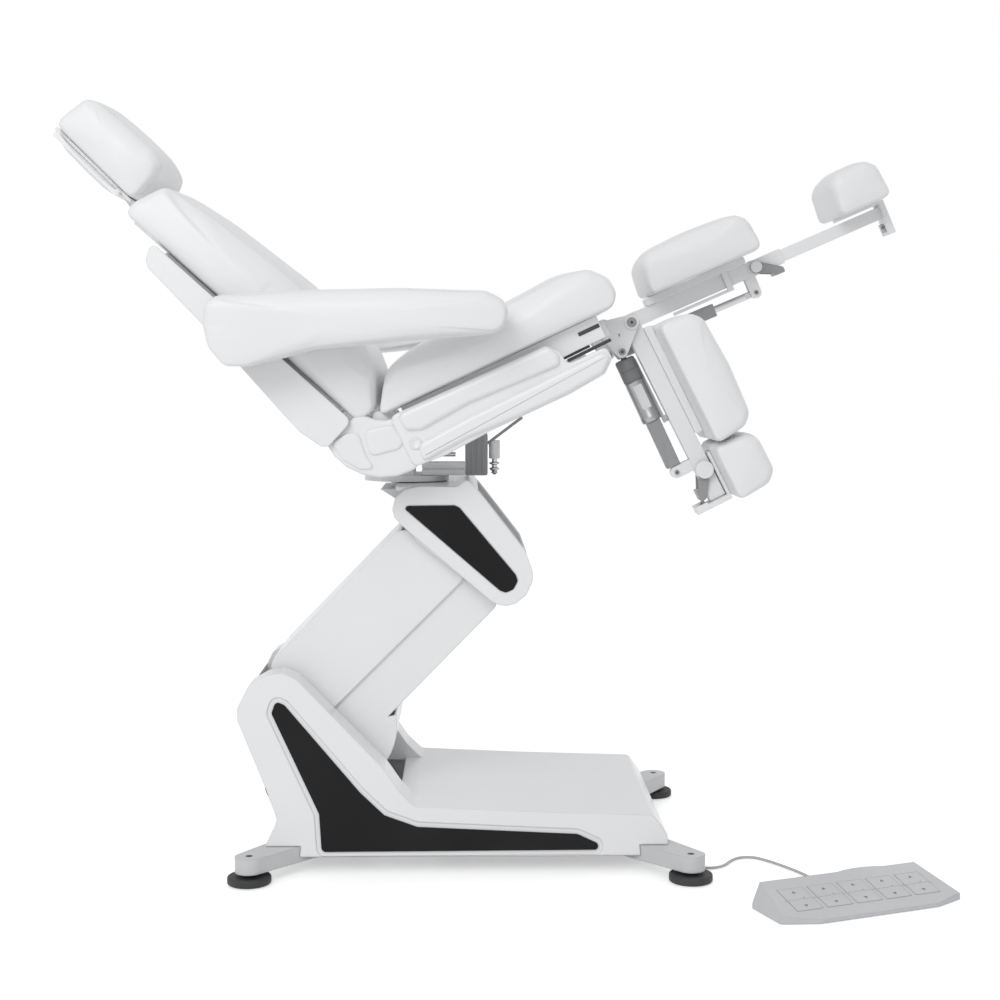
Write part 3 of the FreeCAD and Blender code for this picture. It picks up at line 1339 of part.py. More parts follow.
def make_armrests():
    """Make the two armrests: each a long pad on a bracket that pivots on the back frame."""
    pivot = back_view.point(arm_pivot_u, arm_pivot_v)
    pad_x = pivot.x - arm_pad_length / 10
    pad_z = pivot.z - arm_pad_height * 0.3
    pad_view = SideFrame(pad_x, pad_z, 0)
    for side, name in ((-1, "right"), (1, "left")):
        y_from, y_to = across(side, arm_pad_half_gap, arm_pad_half_gap + arm_pad_width)
        pad = cushion(pad_view, arm_pad_shares, arm_pad_length, arm_pad_height, y_from, y_to)
        bolt_from = frame_rail_half_gap + frame_rail_width
        y_from, y_to = across(side, shell_outer_half_width + panel_gap, arm_pad_half_gap - panel_gap)
        hub = cross_pin(chair_side, pivot.x, pivot.z, y_from, y_to, 2 * arm_pivot_diameter)
        reach_y = arm_pad_half_gap + arm_pad_width / 2
        strip_from, strip_to = across(side, shell_outer_half_width + panel_gap, reach_y)
        points = [pad_view.point(u * arm_pad_length, v * arm_pad_height) for u, v in arm_strip_shares]
        pieces = [hub]
        plate_y = across(side, shell_outer_half_width + panel_gap, arm_pad_half_gap - panel_gap)
        ends = [(pivot.x, pivot.z, arm_pivot_diameter)]
        ends += [(place.x, place.z, arm_strip_thickness) for place in points]
        pieces.append(link_plate(chair_side, ends, plate_y[0], plate_y[1]))
        for place in points[1:]:
            stud_y = across(side, shell_outer_half_width + panel_gap, reach_y)
            pieces.append(cross_pin(chair_side, place.x, place.z, stud_y[0], stud_y[1], arm_strip_thickness))
        bracket = joined(pieces).cut(pad)
        bolt_y = across(side, bolt_from - overrun, arm_pad_half_gap)
        bore = cross_pin(chair_side, pivot.x, pivot.z, bolt_y[0], bolt_y[1], arm_pivot_diameter + 2 * pin_gap)
        bracket = bracket.cut(bore)
        save("armrest_bracket_" + name, bracket)
        save("armrest_pad_" + name, pad)


# Legs

calf_cushion_shares = (
    (0.0, 0.12), (0.02, 0.75), (0.1, 0.97), (0.5, 1.03), (0.9, 0.97), (0.98, 0.75), (1.0, 0.12), (0.97, 0.0),
    (0.03, 0.0),
)
foot_cushion_shares = (
    (0.0, 0.1), (0.03, 0.75), (0.2, 0.97), (0.8, 0.98), (0.97, 0.75), (1.0, 0.1), (0.93, 0.0), (0.07, 0.0),
)
leg_sides = ((-1, "right", right_leg_angle, 0.0, 0.0), (1, "left", left_leg_angle, calf_shift, leg_extension))
actuator_pin = seat_view.point(actuator_pin_u, actuator_pin_v)


def leg_frame_view(angle):
    """Give the side frame of a leg from its knee."""
    return SideFrame(knee.x, knee.z, angle)


def make_leg_tube(view, centre, side, name):
    """Make a leg's outer tube with its actuator lug and the bolt caps of its release lever."""
    half = leg_tube_size / 2
    bore_half = leg_slide_size / 2 + leg_slide_gap
    tube = block(view, leg_tube_start, leg_tube_end, -half, half, centre - half, centre + half)
    tube = tube.cut(block(view, leg_tube_start - overrun, leg_tube_end + overrun, -bore_half, bore_half,
                          centre - bore_half, centre + bore_half))
    inner = actuator_eye_width / 2 + panel_gap
    pieces = [tube]
    for sign in (-1, 1):
        y_from, y_to = sorted((centre + sign * inner, centre + sign * (inner + actuator_lug_plate)))
        lug = link_plate(view, [
            (actuator_lug_u, -half - actuator_eye_diameter / 2, actuator_eye_diameter / 2),
            (actuator_lug_u, actuator_lug_v, actuator_eye_diameter / 2),
        ], y_from, y_to)
        pieces.append(lug)
        pieces.append(block(view, actuator_lug_u - actuator_eye_diameter / 2,
                            actuator_lug_u + actuator_eye_diameter / 2, -half - actuator_eye_diameter / 2, -half,
                            y_from, y_to))
        outer = inner + actuator_lug_plate
        head_from, head_to = sorted((centre + sign * inner, centre + sign * (outer + actuator_lug_plate)))
        pieces.append(cross_pin(view, actuator_lug_u, actuator_lug_v, head_from, head_to, actuator_pin_diameter))
        stub_end = half + release_bar
        stub_from, stub_to = sorted((centre + sign * (half - leg_tube_wall), centre + sign * stub_end))
        pieces.append(cross_pin(view, release_u, 0, stub_from, stub_to, actuator_pin_diameter))
        cap_size = release_cap_diameter if sign == side else actuator_eye_diameter
        cap_from, cap_to = sorted((centre + sign * stub_end, centre + sign * (stub_end + release_cap_thickness)))
        pieces.append(cross_pin(view, release_u, 0, cap_from, cap_to, cap_size))
    whole = joined(pieces)
    whole = whole.cut(cross_pin(view, 0, 0, centre - leg_tube_size, centre + leg_tube_size,
                                knee_pin_diameter + 2 * pin_gap))
    save("leg_tube_" + name, whole)


def make_calf(view, centre, side, shift, name):
    """Make a calf pad's cushion, and the board that slides on the tube with its thin link rod."""
    half = leg_tube_size / 2
    low = half + seat_gap
    high = low + calf_board
    start = calf_board_start + shift
    width = calf_board_width / 2
    board = block(view, start, start + calf_board_length, low, high, centre - width, centre + width, calf_board / 4)
    tab_start = start + calf_board_length * 0.75
    bar_y = centre - side * (half + calf_link_diameter / 2 + panel_gap)
    tab_half = calf_link_diameter / 2
    tab = block(view, tab_start, tab_start + 2 * calf_link_diameter, -calf_link_drop, low + calf_board / 2,
                bar_y - tab_half, bar_y + tab_half)
    link_start = view.point(tab_start - calf_length / 2, -calf_link_drop + tab_half, bar_y)
    link = rod(link_start, view.point(tab_start + calf_link_diameter, -calf_link_drop + tab_half, bar_y),
               calf_link_diameter)
    save("calf_board_" + name, joined([board, tab, link]))
    place = view.point(calf_start + shift, high + seat_gap)
    pad_view = SideFrame(place.x, place.z, view.angle)
    save("calf_cushion_" + name, cushion(pad_view, calf_cushion_shares, calf_length, calf_thickness,
                                         centre - calf_half_width, centre + calf_half_width))


def make_foot_slide(view, centre, shift, name):
    """Make a foot rest: its sliding tube with bracket and handle, its trigger and its cushion."""
    half = leg_slide_size / 2
    end = end_bracket_u + shift
    far_end = end + end_bracket_thickness
    tube = block(view, end - leg_slide_length, end, -half, half, centre - half, centre + half)
    width = end_bracket_half_width
    plate_high = foot_pad_base - seat_gap
    plate_low = leg_tube_size / 2 + 2 * panel_gap
    bar = block(view, end, far_end, end_bracket_low, plate_high, centre - width, centre + width)
    plate = block(view, end - foot_pad_length * 0.78, far_end, plate_low, plate_high, centre - width, centre + width)
    pieces = [tube, bar, plate]
    handle_low = end_bracket_low - pull_handle_depth
    for sign in (-1, 1):
        y_from, y_to = sorted((centre + sign * width, centre + sign * (width - pull_handle_bar)))
        pieces.append(block(view, end - trigger_thickness, far_end, handle_low, end_bracket_low, y_from, y_to))
    pieces.append(block(view, end - trigger_thickness, far_end, handle_low, handle_low + pull_handle_bar,
                        centre - width, centre + width))
    save("foot_slide_" + name, joined(pieces))
    trigger_half = width - pull_handle_bar - seat_gap
    trigger_high = end_bracket_low - pull_handle_bar + trigger_thickness / 2
    save("foot_trigger_" + name, block(view, end - trigger_thickness / 2, far_end - trigger_thickness / 2,
                                       trigger_high - trigger_thickness, trigger_high, centre - trigger_half,
                                       centre + trigger_half, trigger_thickness / 3))
    place = view.point(foot_pad_start + shift, foot_pad_base)
    pad_view = SideFrame(place.x, place.z, view.angle)
    save("foot_cushion_" + name, cushion(pad_view, foot_cushion_shares, foot_pad_length, foot_pad_thickness,
                                         centre - foot_pad_half_width, centre + foot_pad_half_width))


def make_release_lever(view, centre, name):
    """Make the D-shaped release lever that hangs round the tube's end."""
    inner = leg_tube_size / 2 + panel_gap
    outer = leg_tube_size / 2 + release_bar - running_gap
    end = release_u + release_length
    pieces = []
    for sign in (-1, 1):
        y_from, y_to = sorted((centre + sign * inner, centre + sign * outer))
        pieces.append(link_plate(view, [
            (release_u, 0, actuator_eye_diameter / 2), (end - release_bar, release_v, release_bar),
        ], y_from, y_to))
    grip = block(view, end - 3 * release_bar, end, release_v - release_bar, release_v + release_bar / 2,
                 centre - outer, centre + outer, release_bar / 3)
    lever = joined(pieces + [grip])
    lever = lever.cut(cross_pin(view, release_u, 0, centre - leg_tube_size, centre + leg_tube_size,
                                actuator_pin_diameter + 2 * pin_gap))
    save("release_lever_" + name, lever)


def make_leg_actuator(view, centre, name):
    """Make a leg's actuator: motor body with square tube, and its rod."""
    start = Vector(actuator_pin.x, centre, actuator_pin.z)
    end = view.point(actuator_lug_u, actuator_lug_v, centre)
    run = end - start
    line = SideFrame(start.x, start.z, math.degrees(math.atan2(run.z, run.x)))
    half = actuator_eye_width / 2
    eye = cross_pin(line, 0, 0, centre - half, centre + half, actuator_eye_diameter)
    neck = block(line, 0, actuator_body_start + overrun, -half, half, centre - half, centre + half)
    body_end = actuator_body_start + actuator_body_length
    motor = rod(line.point(actuator_body_start, 0, centre), line.point(body_end, 0, centre), actuator_body_diameter)
    tube_half = actuator_tube_size / 2
    tube_end = body_end + actuator_tube_length
    tube = block(line, body_end - running_gap, tube_end, -tube_half, tube_half, centre - tube_half,
                 centre + tube_half)
    whole = joined([eye, neck, motor, tube])
    whole = whole.cut(cross_pin(line, 0, 0, centre - actuator_body_diameter, centre + actuator_body_diameter,
                                actuator_pin_diameter + 2 * pin_gap))
    whole = whole.cut(rod(line.point(body_end, 0, centre), line.point(tube_end + overrun, 0, centre),
                          actuator_rod_diameter + 2 * pin_gap))
    save("leg_actuator_body_" + name, whole)
    length = run.Length
    shaft = rod(line.point(length - actuator_rod_length, 0, centre), line.point(length, 0, centre),
                actuator_rod_diameter)
    shaft = shaft.common(block(line, 0, length, -half * 2, half * 2, centre - half * 2, centre + half * 2))
    tip = cross_pin(line, length, 0, centre - half, centre + half, actuator_eye_diameter)
    clear = half * 2
    shaft = shaft.cut(block(line, length - actuator_eye_diameter, length + overrun, -clear, clear, centre + half,
                            centre + clear))
    shaft = shaft.cut(block(line, length - actuator_eye_diameter, length + overrun, -clear, clear, centre - clear,
                            centre - half))
    save("leg_actuator_rod_" + name, joined([shaft, tip]))


def make_legs():
    """Make both legs, each at its own angle and extension."""
    for side, name, angle, shift, extension in leg_sides:
        view = leg_frame_view(angle)
        centre = side * leg_centre
        make_leg_tube(view, centre, side, name)
        make_calf(view, centre, side, shift, name)
        make_foot_slide(view, centre, shift + extension, name)
        make_release_lever(view, centre, name)
        make_leg_actuator(view, centre, name)


# Foot control

def control_place(along, wide, height):
    """Turn a place on the foot control into the chair's own layout."""
    turn = math.radians(control_turn)
    return Vector(control_x + along * math.cos(turn) - wide * math.sin(turn),
                  control_y + along * math.sin(turn) + wide * math.cos(turn), height)


def placed(shape):
    """Turn and move a shape from the foot control's own frame to its place on the floor."""
    moved = shape.copy()
    moved.rotate(Vector(0, 0, 0), Vector(0, 0, 1), control_turn)
    moved.translate(Vector(control_x, control_y, 0))
    return moved


def make_foot_control():
    """Make the foot control: its wedge housing with five wells, and five rocker keys."""
    half_length = control_length / 2
    half_width = control_width / 2
    rear_cut = control_chamfer / 2
    plan = [
        Vector(-half_length, control_chamfer - half_width, 0), Vector(control_front_chamfer - half_length, -half_width, 0),
        Vector(half_length - control_front_chamfer, -half_width, 0), Vector(half_length, control_chamfer - half_width, 0),
        Vector(half_length, half_width - rear_cut, 0), Vector(half_length - control_chamfer, half_width, 0),
        Vector(control_chamfer - half_length, half_width, 0), Vector(-half_length, half_width - rear_cut, 0),
    ]
    solid = Part.Face(outline_wire(plan, control_corner)).extrude(Vector(0, 0, control_height))
    hump_start = Vector(control_hump_place - control_hump_half_length, half_width - running_gap, 0)
    hump_end = Vector(control_hump_place + control_hump_half_length, half_width - running_gap, 0)
    hump_top = Vector(control_hump_place, half_width + control_hump_reach, 0)
    hump_wire = Part.Wire([Part.Arc(hump_start, hump_top, hump_end).toShape(), Part.makeLine(hump_end, hump_start)])
    solid = solid.fuse(Part.Face(hump_wire).extrude(Vector(0, 0, control_height)))
    slope = math.degrees(math.atan2(control_height - control_front_height, control_width))
    cutter = Part.makeBox(2 * control_length, 2 * control_width, control_height,
                          Vector(-control_length, -half_width, control_front_height))
    cutter.rotate(Vector(0, -half_width, control_front_height), Vector(1, 0, 0), slope)
    solid = solid.cut(cutter)
    for sign in (-1, 1):
        rim = sign * (half_length + running_gap)
        shoulder = sign * (half_length - control_end_slope)
        end_wire = Part.makePolygon([
            Vector(rim, -control_width, control_edge_height), Vector(shoulder, -control_width, control_height),
            Vector(shoulder, -control_width, 2 * control_height), Vector(rim, -control_width, 2 * control_height),
            Vector(rim, -control_width, control_edge_height),
        ])
        solid = solid.cut(Part.Face(end_wire).extrude(Vector(0, 2 * control_width, 0)))
    turned = []
    for number in range(key_count):
        along = (number - (key_count - 1) / 2) * key_pitch
        well = Part.makeBox(key_length + 2 * key_gap, key_width + 2 * key_gap, key_thickness + 2 * key_gap,
                            Vector(along - key_length / 2 - key_gap, -key_width / 2 - key_gap,
                                   -key_thickness - 2 * key_gap + key_stand))
        key = Part.makeBox(key_length, key_width, key_thickness,
                           Vector(along - key_length / 2, -key_width / 2, -key_thickness + key_stand))
        edges = [edge for edge in key.Edges if abs(edge.Vertexes[0].Z - edge.Vertexes[-1].Z) > key_stand]
        key = key.makeFillet(key_stand, edges)
        groove = Part.makeBox(key_length / 2, key_gap, key_gap,
                              Vector(along - key_length / 4, -key_gap / 2, key_stand - key_gap))
        pin = Part.makeCylinder(key_pin_diameter / 2, key_length + 2 * key_pin_reach,
                                Vector(along - key_length / 2 - key_pin_reach, 0, 0), Vector(1, 0, 0))
        seat = Part.makeCylinder(key_pin_diameter / 2 + pin_gap, key_length + 2 * key_pin_reach + 2 * pin_gap,
                                 Vector(along - key_length / 2 - key_pin_reach - pin_gap, 0, 0), Vector(1, 0, 0))
        key = key.cut(groove).fuse(pin)
        well = well.fuse(seat)
        turned.append((well, key))
    lift = (control_height + control_front_height) / 2
    for number, (well, key) in enumerate(turned):
        for shape in (well, key):
            shape.rotate(Vector(0, 0, 0), Vector(1, 0, 0), slope)
            shape.translate(Vector(0, 0, lift))
        solid = solid.cut(well)
        save("foot_key_" + str(number + 1), placed(key))
    gland = Part.makeCylinder(gland_diameter / 2, gland_length / 2 + control_chamfer / 2,
                              Vector(0, half_width - control_chamfer / 2, gland_height), Vector(0, 1, 0))
    solid = solid.fuse(gland).removeSplitter()
    save("foot_control_housing", placed(solid))


# The cable's route over the floor, from the foot control to the gland under the base frame

cable_route = (
    (624.0, -363.1, 12.0), (614.0, -337.0, 9.0), (601.0, -301.0, 2.9), (586.0, -263.0, 2.6), (564.0, -224.0, 2.6),
    (541.0, -190.0, 2.6), (520.0, -168.0, 2.6), (492.0, -170.0, 2.6), (474.0, -192.0, 2.6), (458.0, -222.0, 2.6),
    (434.0, -237.0, 2.6), (406.0, -228.0, 2.6), (380.0, -196.0, 2.6), (358.0, -168.0, 2.6), (336.0, -153.0, 2.6),
    (314.8, -150.0, 2.6),
)


def make_cable():
    """Make the foot control's cable from straight runs joined by tangent arcs, and its gland."""
    points = [Vector(*place) for place in cable_route]
    edges = []
    start = points[0]
    radii = []
    for index in range(1, len(points) - 1):
        corner = points[index]
        back = points[index - 1] - corner
        ahead = points[index + 1] - corner
        half_turn = (math.pi - ahead.getAngle(back)) / 2
        cut = corner_reach_share * min(back.Length, ahead.Length)
        radius = cut / math.tan(half_turn)
        radii.append(round(radius, 1))
        back.normalize()
        ahead.normalize()
        way = back + ahead
        way.normalize()
        middle = corner + way * (radius / math.cos(half_turn) - radius)
        arc_start = corner + back * cut
        edges.append(Part.makeLine(start, arc_start))
        start = corner + ahead * cut
        edges.append(Part.Arc(arc_start, middle, start).toShape())
    edges.append(Part.makeLine(start, points[-1]))
    path = Part.Wire(edges)
    section = Part.Wire(Part.makeCircle(cable_diameter / 2, points[0], points[1] - points[0]))
    tube = path.makePipeShell([section], True, False)
    print("cable radii", radii, "length", round(path.Length), "volume", round(tube.Volume),
          "section times length", round(math.pi * cable_diameter ** 2 / 4 * path.Length))
    save("foot_control_cable", tube)
    end = points[-1]
    width = gland_diameter / 2
    gland = block(chair_side, end.x - gland_length / 2, end.x - running_gap, end.z - cable_diameter / 2, lug_underside,
                  end.y - width, end.y + width)
    save("cable_entries", Part.makeCompound([gland, mains_inlet()]))


make_base_cover()
make_base_panels()
save("base_frame", Part.makeCompound([base_frame()] + pivot_pins()))
make_floor_contact()
make_control_box()
make_arm("main_arm", main_arm_frame, main_arm_half_width, 1)
make_arm("front_arm", front_arm_frame, front_arm_half_width, -1)
make_main_arm_cover()
make_front_arm_cover()
make_lift_actuator()
make_head_frame()
make_head_cover()
make_swivel_platform()
make_tilt_actuator()
make_seat_frame()
make_seat_cushion()
make_seat_side_covers()
make_recline_actuator()
make_back_frame()
make_back_shell()
make_back_cushion()
make_back_lever()
make_headrest()
make_armrests()
make_legs()
make_foot_control()
make_cable()
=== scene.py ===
import logging
import math
from dataclasses import dataclass
from enum import Enum
from typing import Callable, Dict, List, Optional, Sequence, Tuple

import bmesh
import bpy
from mathutils import Matrix, Vector, noise


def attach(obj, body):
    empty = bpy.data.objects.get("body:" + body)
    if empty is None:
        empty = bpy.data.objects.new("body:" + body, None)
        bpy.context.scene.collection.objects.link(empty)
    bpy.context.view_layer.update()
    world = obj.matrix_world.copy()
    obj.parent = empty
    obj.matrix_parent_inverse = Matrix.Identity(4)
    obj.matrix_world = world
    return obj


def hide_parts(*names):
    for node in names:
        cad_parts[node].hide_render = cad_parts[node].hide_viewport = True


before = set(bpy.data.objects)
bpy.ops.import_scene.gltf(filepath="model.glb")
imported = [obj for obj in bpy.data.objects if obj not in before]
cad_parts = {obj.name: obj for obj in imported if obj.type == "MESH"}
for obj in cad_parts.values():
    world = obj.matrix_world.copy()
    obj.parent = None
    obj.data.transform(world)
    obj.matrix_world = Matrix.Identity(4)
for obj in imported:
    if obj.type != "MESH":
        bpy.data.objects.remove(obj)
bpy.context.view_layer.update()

log = logging.getLogger("podiatry_chair")

Pair = Tuple[float, float]
Row = List[Pair]
MM = 0.001


class Coat(Enum):
    """The families of finish on the chair."""

    MOULDED = "moulded"
    PAINTED = "painted"
    METAL = "metal"
    LEATHER = "leather"
    RUBBER = "rubber"


class Side(Enum):
    """The chair's two sides, as the sign of Y."""

    RIGHT = -1
    LEFT = 1


@dataclass(frozen=True)
class Layout:
    """Where the chair's own layout lies in the shared frame, in millimetres."""

    origin_x: float = 47.6
    origin_y: float = -76.3

    def place(self, x: float, y: float, z: float) -> Vector:
        """Return a layout point in the shared frame, in metres."""
        return Vector(((x - self.origin_x) * MM, (y - self.origin_y) * MM, z * MM))


LAYOUT = Layout()


@dataclass(frozen=True)
class SideView:
    """A frame in the chair's side view: u along its angle and v square to u."""

    x: float
    z: float
    angle: float
    turn: int = 1

    def flat(self, u: float, v: float) -> Pair:
        """Return the layout x and z of (u, v)."""
        a = math.radians(self.angle)
        x = self.x + u * math.cos(a) - self.turn * v * math.sin(a)
        z = self.z + u * math.sin(a) + self.turn * v * math.cos(a)
        return x, z

    def point(self, u: float, v: float, y: float) -> Vector:
        """Return (u, v) at depth y in the shared frame, in metres."""
        x, z = self.flat(u, v)
        return LAYOUT.place(x, y, z)


def box(u_from: float, v_from: float, u_to: float, v_to: float) -> Row:
    """Return a rectangle's four corners in a side view."""
    return [(u_from, v_from), (u_to, v_from), (u_to, v_to), (u_from, v_to)]


PLAIN = SideView(0.0, 0.0, 0.0)
HINGE = SideView(-158.7, 812.3, 0.0)
SEAT = SideView(-158.7, 812.3, 25.0)
BACK = SideView(-158.7, 812.3, 138.0, -1)
HEADREST_FOOT = BACK.flat(548.0, 0.0)
HEADREST = SideView(HEADREST_FOOT[0], HEADREST_FOOT[1], 138.0, -1)
KNEE = (290.0, 981.0)
LEG_RIGHT = SideView(KNEE[0], KNEE[1], -63.1)
LEG_LEFT = SideView(KNEE[0], KNEE[1], 23.5)


class Nodes:
    """A short way to add and join shader or geometry nodes in one tree."""

    def __init__(self, tree: bpy.types.NodeTree) -> None:
        """Keep the tree that the nodes go into.

        Args:
            tree: the tree to build in.
        """
        self.tree = tree

    def add(self, kind: str, **settings: object) -> bpy.types.Node:
        """Add one node.

        Args:
            kind: the node's Blender type name.
            **settings: attributes to set on it.

        Returns:
            The new node.
        """
        node = self.tree.nodes.new(kind)
        for name, value in settings.items():
            setattr(node, name, value)
        return node

    def join(self, start: bpy.types.NodeSocket, end: bpy.types.NodeSocket) -> None:
        """Link two sockets."""
        self.tree.links.new(start, end)

    def feed(self, node: bpy.types.Node, values: Dict[object, object]) -> None:
        """Feed a node's inputs, named or numbered, each from a socket or a plain value."""
        for key, value in values.items():
            if isinstance(value, bpy.types.NodeSocket):
                self.join(value, node.inputs[key])
            else:
                node.inputs[key].default_value = value

    def maths(self, operation: str, first: object, second: object = 0.0) -> bpy.types.NodeSocket:
        """Add a Math node fed by sockets or numbers and return its output."""
        node = self.add("ShaderNodeMath", operation=operation)
        self.feed(node, {0: first, 1: second})
        return node.outputs[0]


def shader_group(name: str, inputs: Dict[str, float], outputs: Sequence[str],
                 fill: Callable[[Nodes, bpy.types.Node, bpy.types.Node], None]) -> bpy.types.NodeTree:
    """Build a shader node group with a Vector input, named numbers and value outputs.

    Args:
        name: the group's name.
        inputs: number inputs with their usual values.
        outputs: names of the value outputs.
        fill: a function that adds the group's nodes between its input and output nodes.

    Returns:
        The finished group.
    """
    tree = bpy.data.node_groups.new(name, "ShaderNodeTree")
    tree.interface.new_socket("Vector", in_out="INPUT", socket_type="NodeSocketVector")
    for title, value in inputs.items():
        socket = tree.interface.new_socket(title, in_out="INPUT", socket_type="NodeSocketFloat")
        socket.default_value = value
    for title in outputs:
        tree.interface.new_socket(title, in_out="OUTPUT", socket_type="NodeSocketFloat")
    kit = Nodes(tree)
    fill(kit, kit.add("NodeGroupInput"), kit.add("NodeGroupOutput"))
    return tree


class Effects:
    """The shader node groups that the finishes share."""

    def __init__(self) -> None:
        """Build every shared effect once."""
        self.grain = shader_group("Leatherette grain", {"Cells": 900.0, "Creases": 14.0}, ("Height", "Tone", "Crease"),
                                  self._grain)
        self.peel = shader_group("Moulded surface", {"Peel": 260.0, "Cloud": 5.0}, ("Height", "Tone"), self._peel)
        self.draw = shader_group("Drawn metal", {"Lines": 40.0, "Stretch": 60.0}, ("Height", "Tone"), self._draw)
        self.dust = shader_group("Settled dust", {"Size": 22.0, "Amount": 0.5}, ("Mask",), self._dust)

    @staticmethod
    def _noise(kit: Nodes, vector: bpy.types.NodeSocket, scale: object, detail: float) -> bpy.types.NodeSocket:
        """Add a noise texture at a scale and return its value."""
        node = kit.add("ShaderNodeTexNoise")
        kit.feed(node, {"Vector": vector, "Scale": scale, "Detail": detail})
        return node.outputs["Fac"]

    def _grain(self, kit: Nodes, start: bpy.types.Node, end: bpy.types.Node) -> None:
        """Fill the leatherette group: fine cells, soft creases and a cloudy tone."""
        cells = kit.add("ShaderNodeTexVoronoi", feature="SMOOTH_F1")
        kit.feed(cells, {"Vector": start.outputs["Vector"], "Scale": start.outputs["Cells"]})
        crease = self._noise(kit, start.outputs["Vector"], start.outputs["Creases"], 3.0)
        fold = kit.maths("POWER", crease, 2.0)
        fine = kit.maths("MULTIPLY", cells.outputs["Distance"], 0.35)
        kit.feed(end, {"Height": kit.maths("ADD", fine, kit.maths("MULTIPLY", fold, 0.9)),
                       "Tone": self._noise(kit, start.outputs["Vector"], 4.0, 5.0), "Crease": fold})

    def _peel(self, kit: Nodes, start: bpy.types.Node, end: bpy.types.Node) -> None:
        """Fill the moulding group: fine orange peel and slow sink marks."""
        fine = self._noise(kit, start.outputs["Vector"], start.outputs["Peel"], 2.0)
        slow = self._noise(kit, start.outputs["Vector"], start.outputs["Cloud"], 2.0)
        kit.join(kit.maths("ADD", kit.maths("MULTIPLY", fine, 0.25), kit.maths("MULTIPLY", slow, 0.75)),
                 end.inputs["Height"])
        kit.join(slow, end.inputs["Tone"])

    def _draw(self, kit: Nodes, start: bpy.types.Node, end: bpy.types.Node) -> None:
        """Fill the metal group: lines drawn across the piece with fine pits."""
        scale = kit.add("ShaderNodeCombineXYZ")
        kit.feed(scale, {"X": 1.0, "Y": start.outputs["Stretch"], "Z": start.outputs["Stretch"]})
        stretched = kit.add("ShaderNodeVectorMath", operation="MULTIPLY")
        kit.feed(stretched, {0: start.outputs["Vector"], 1: scale.outputs[0]})
        lines = self._noise(kit, stretched.outputs[0], start.outputs["Lines"], 4.0)
        kit.feed(end, {"Height": lines, "Tone": self._noise(kit, start.outputs["Vector"], 18.0, 4.0)})

    def _dust(self, kit: Nodes, start: bpy.types.Node, end: bpy.types.Node) -> None:
        """Fill the dust group: a patchy mask that is strongest where noise peaks."""
        patch = self._noise(kit, start.outputs["Vector"], start.outputs["Size"], 6.0)
        peak = kit.maths("SUBTRACT", patch, 0.45)
        raised = kit.maths("MULTIPLY", kit.maths("MAXIMUM", peak, 0.0), start.outputs["Amount"])
        kit.join(raised, end.inputs["Mask"])


@dataclass(frozen=True)
class Finish:
    """One finish: its colours, gloss, relief and edge rounding."""

    name: str
    coat: Coat
    colour: Tuple[float, float, float]
    shade: Tuple[float, float, float]
    roughness: float
    spread: float = 0.06
    grain: float = 900.0
    relief: float = 0.00012
    edge: float = 0.0015
    metallic: float = 0.0
    clear: float = 0.0
    dust: float = 0.12
    mirror: float = 0.5

    def build(self, effects: Effects) -> bpy.types.Material:
        """Make the finish's material.

        Args:
            effects: the shared node groups.

        Returns:
            The new material.
        """
        material = bpy.data.materials.new(self.name)
        material.use_nodes = True
        kit = Nodes(material.node_tree)
        shader = next(n for n in kit.tree.nodes if n.type == "BSDF_PRINCIPLED")
        place = kit.add("ShaderNodeTexCoord")
        group = kit.add("ShaderNodeGroup")
        group.node_tree = {Coat.LEATHER: effects.grain, Coat.RUBBER: effects.grain,
                           Coat.METAL: effects.draw}.get(self.coat, effects.peel)
        kit.feed(group, {"Vector": place.outputs["Object"], 1: self.grain})
        dust = kit.add("ShaderNodeGroup")
        dust.node_tree = effects.dust
        kit.feed(dust, {"Vector": place.outputs["Object"], "Amount": self.dust})
        tint = kit.add("ShaderNodeMix", data_type="RGBA")
        kit.feed(tint, {6: (*self.colour, 1.0), 7: (*self.shade, 1.0)})
        span = kit.add("ShaderNodeMapRange")
        kit.feed(span, {"Value": group.outputs["Tone"], "From Min": 0.35, "From Max": 0.75})
        kit.join(kit.maths("ADD", kit.maths("MULTIPLY", span.outputs[0], 0.7), dust.outputs["Mask"]),
                 tint.inputs[0])
        kit.join(tint.outputs[2], shader.inputs["Base Color"])
        gloss = kit.add("ShaderNodeMapRange")
        kit.feed(gloss, {"Value": group.outputs["Height"], "From Min": 0.2, "From Max": 0.8,
                         "To Min": self.roughness - self.spread, "To Max": self.roughness + self.spread})
        kit.join(gloss.outputs[0], shader.inputs["Roughness"])
        bump = kit.add("ShaderNodeBump")
        kit.feed(bump, {"Strength": 0.8, "Distance": self.relief, "Height": group.outputs["Height"]})
        if self.edge > 0.0:
            rounding = kit.add("ShaderNodeBevel", samples=6)
            rounding.inputs["Radius"].default_value = self.edge
            kit.join(rounding.outputs["Normal"], bump.inputs["Normal"])
        kit.feed(shader, {"Normal": bump.outputs["Normal"], "Metallic": self.metallic,
                          "Specular IOR Level": self.mirror})
        if self.clear > 0.0:
            kit.feed(shader, {"Coat Weight": self.clear, "Coat Roughness": 0.12})
        if self.coat is Coat.LEATHER:
            kit.feed(shader, {"Sheen Weight": 0.08, "Sheen Roughness": 0.4})
        return material


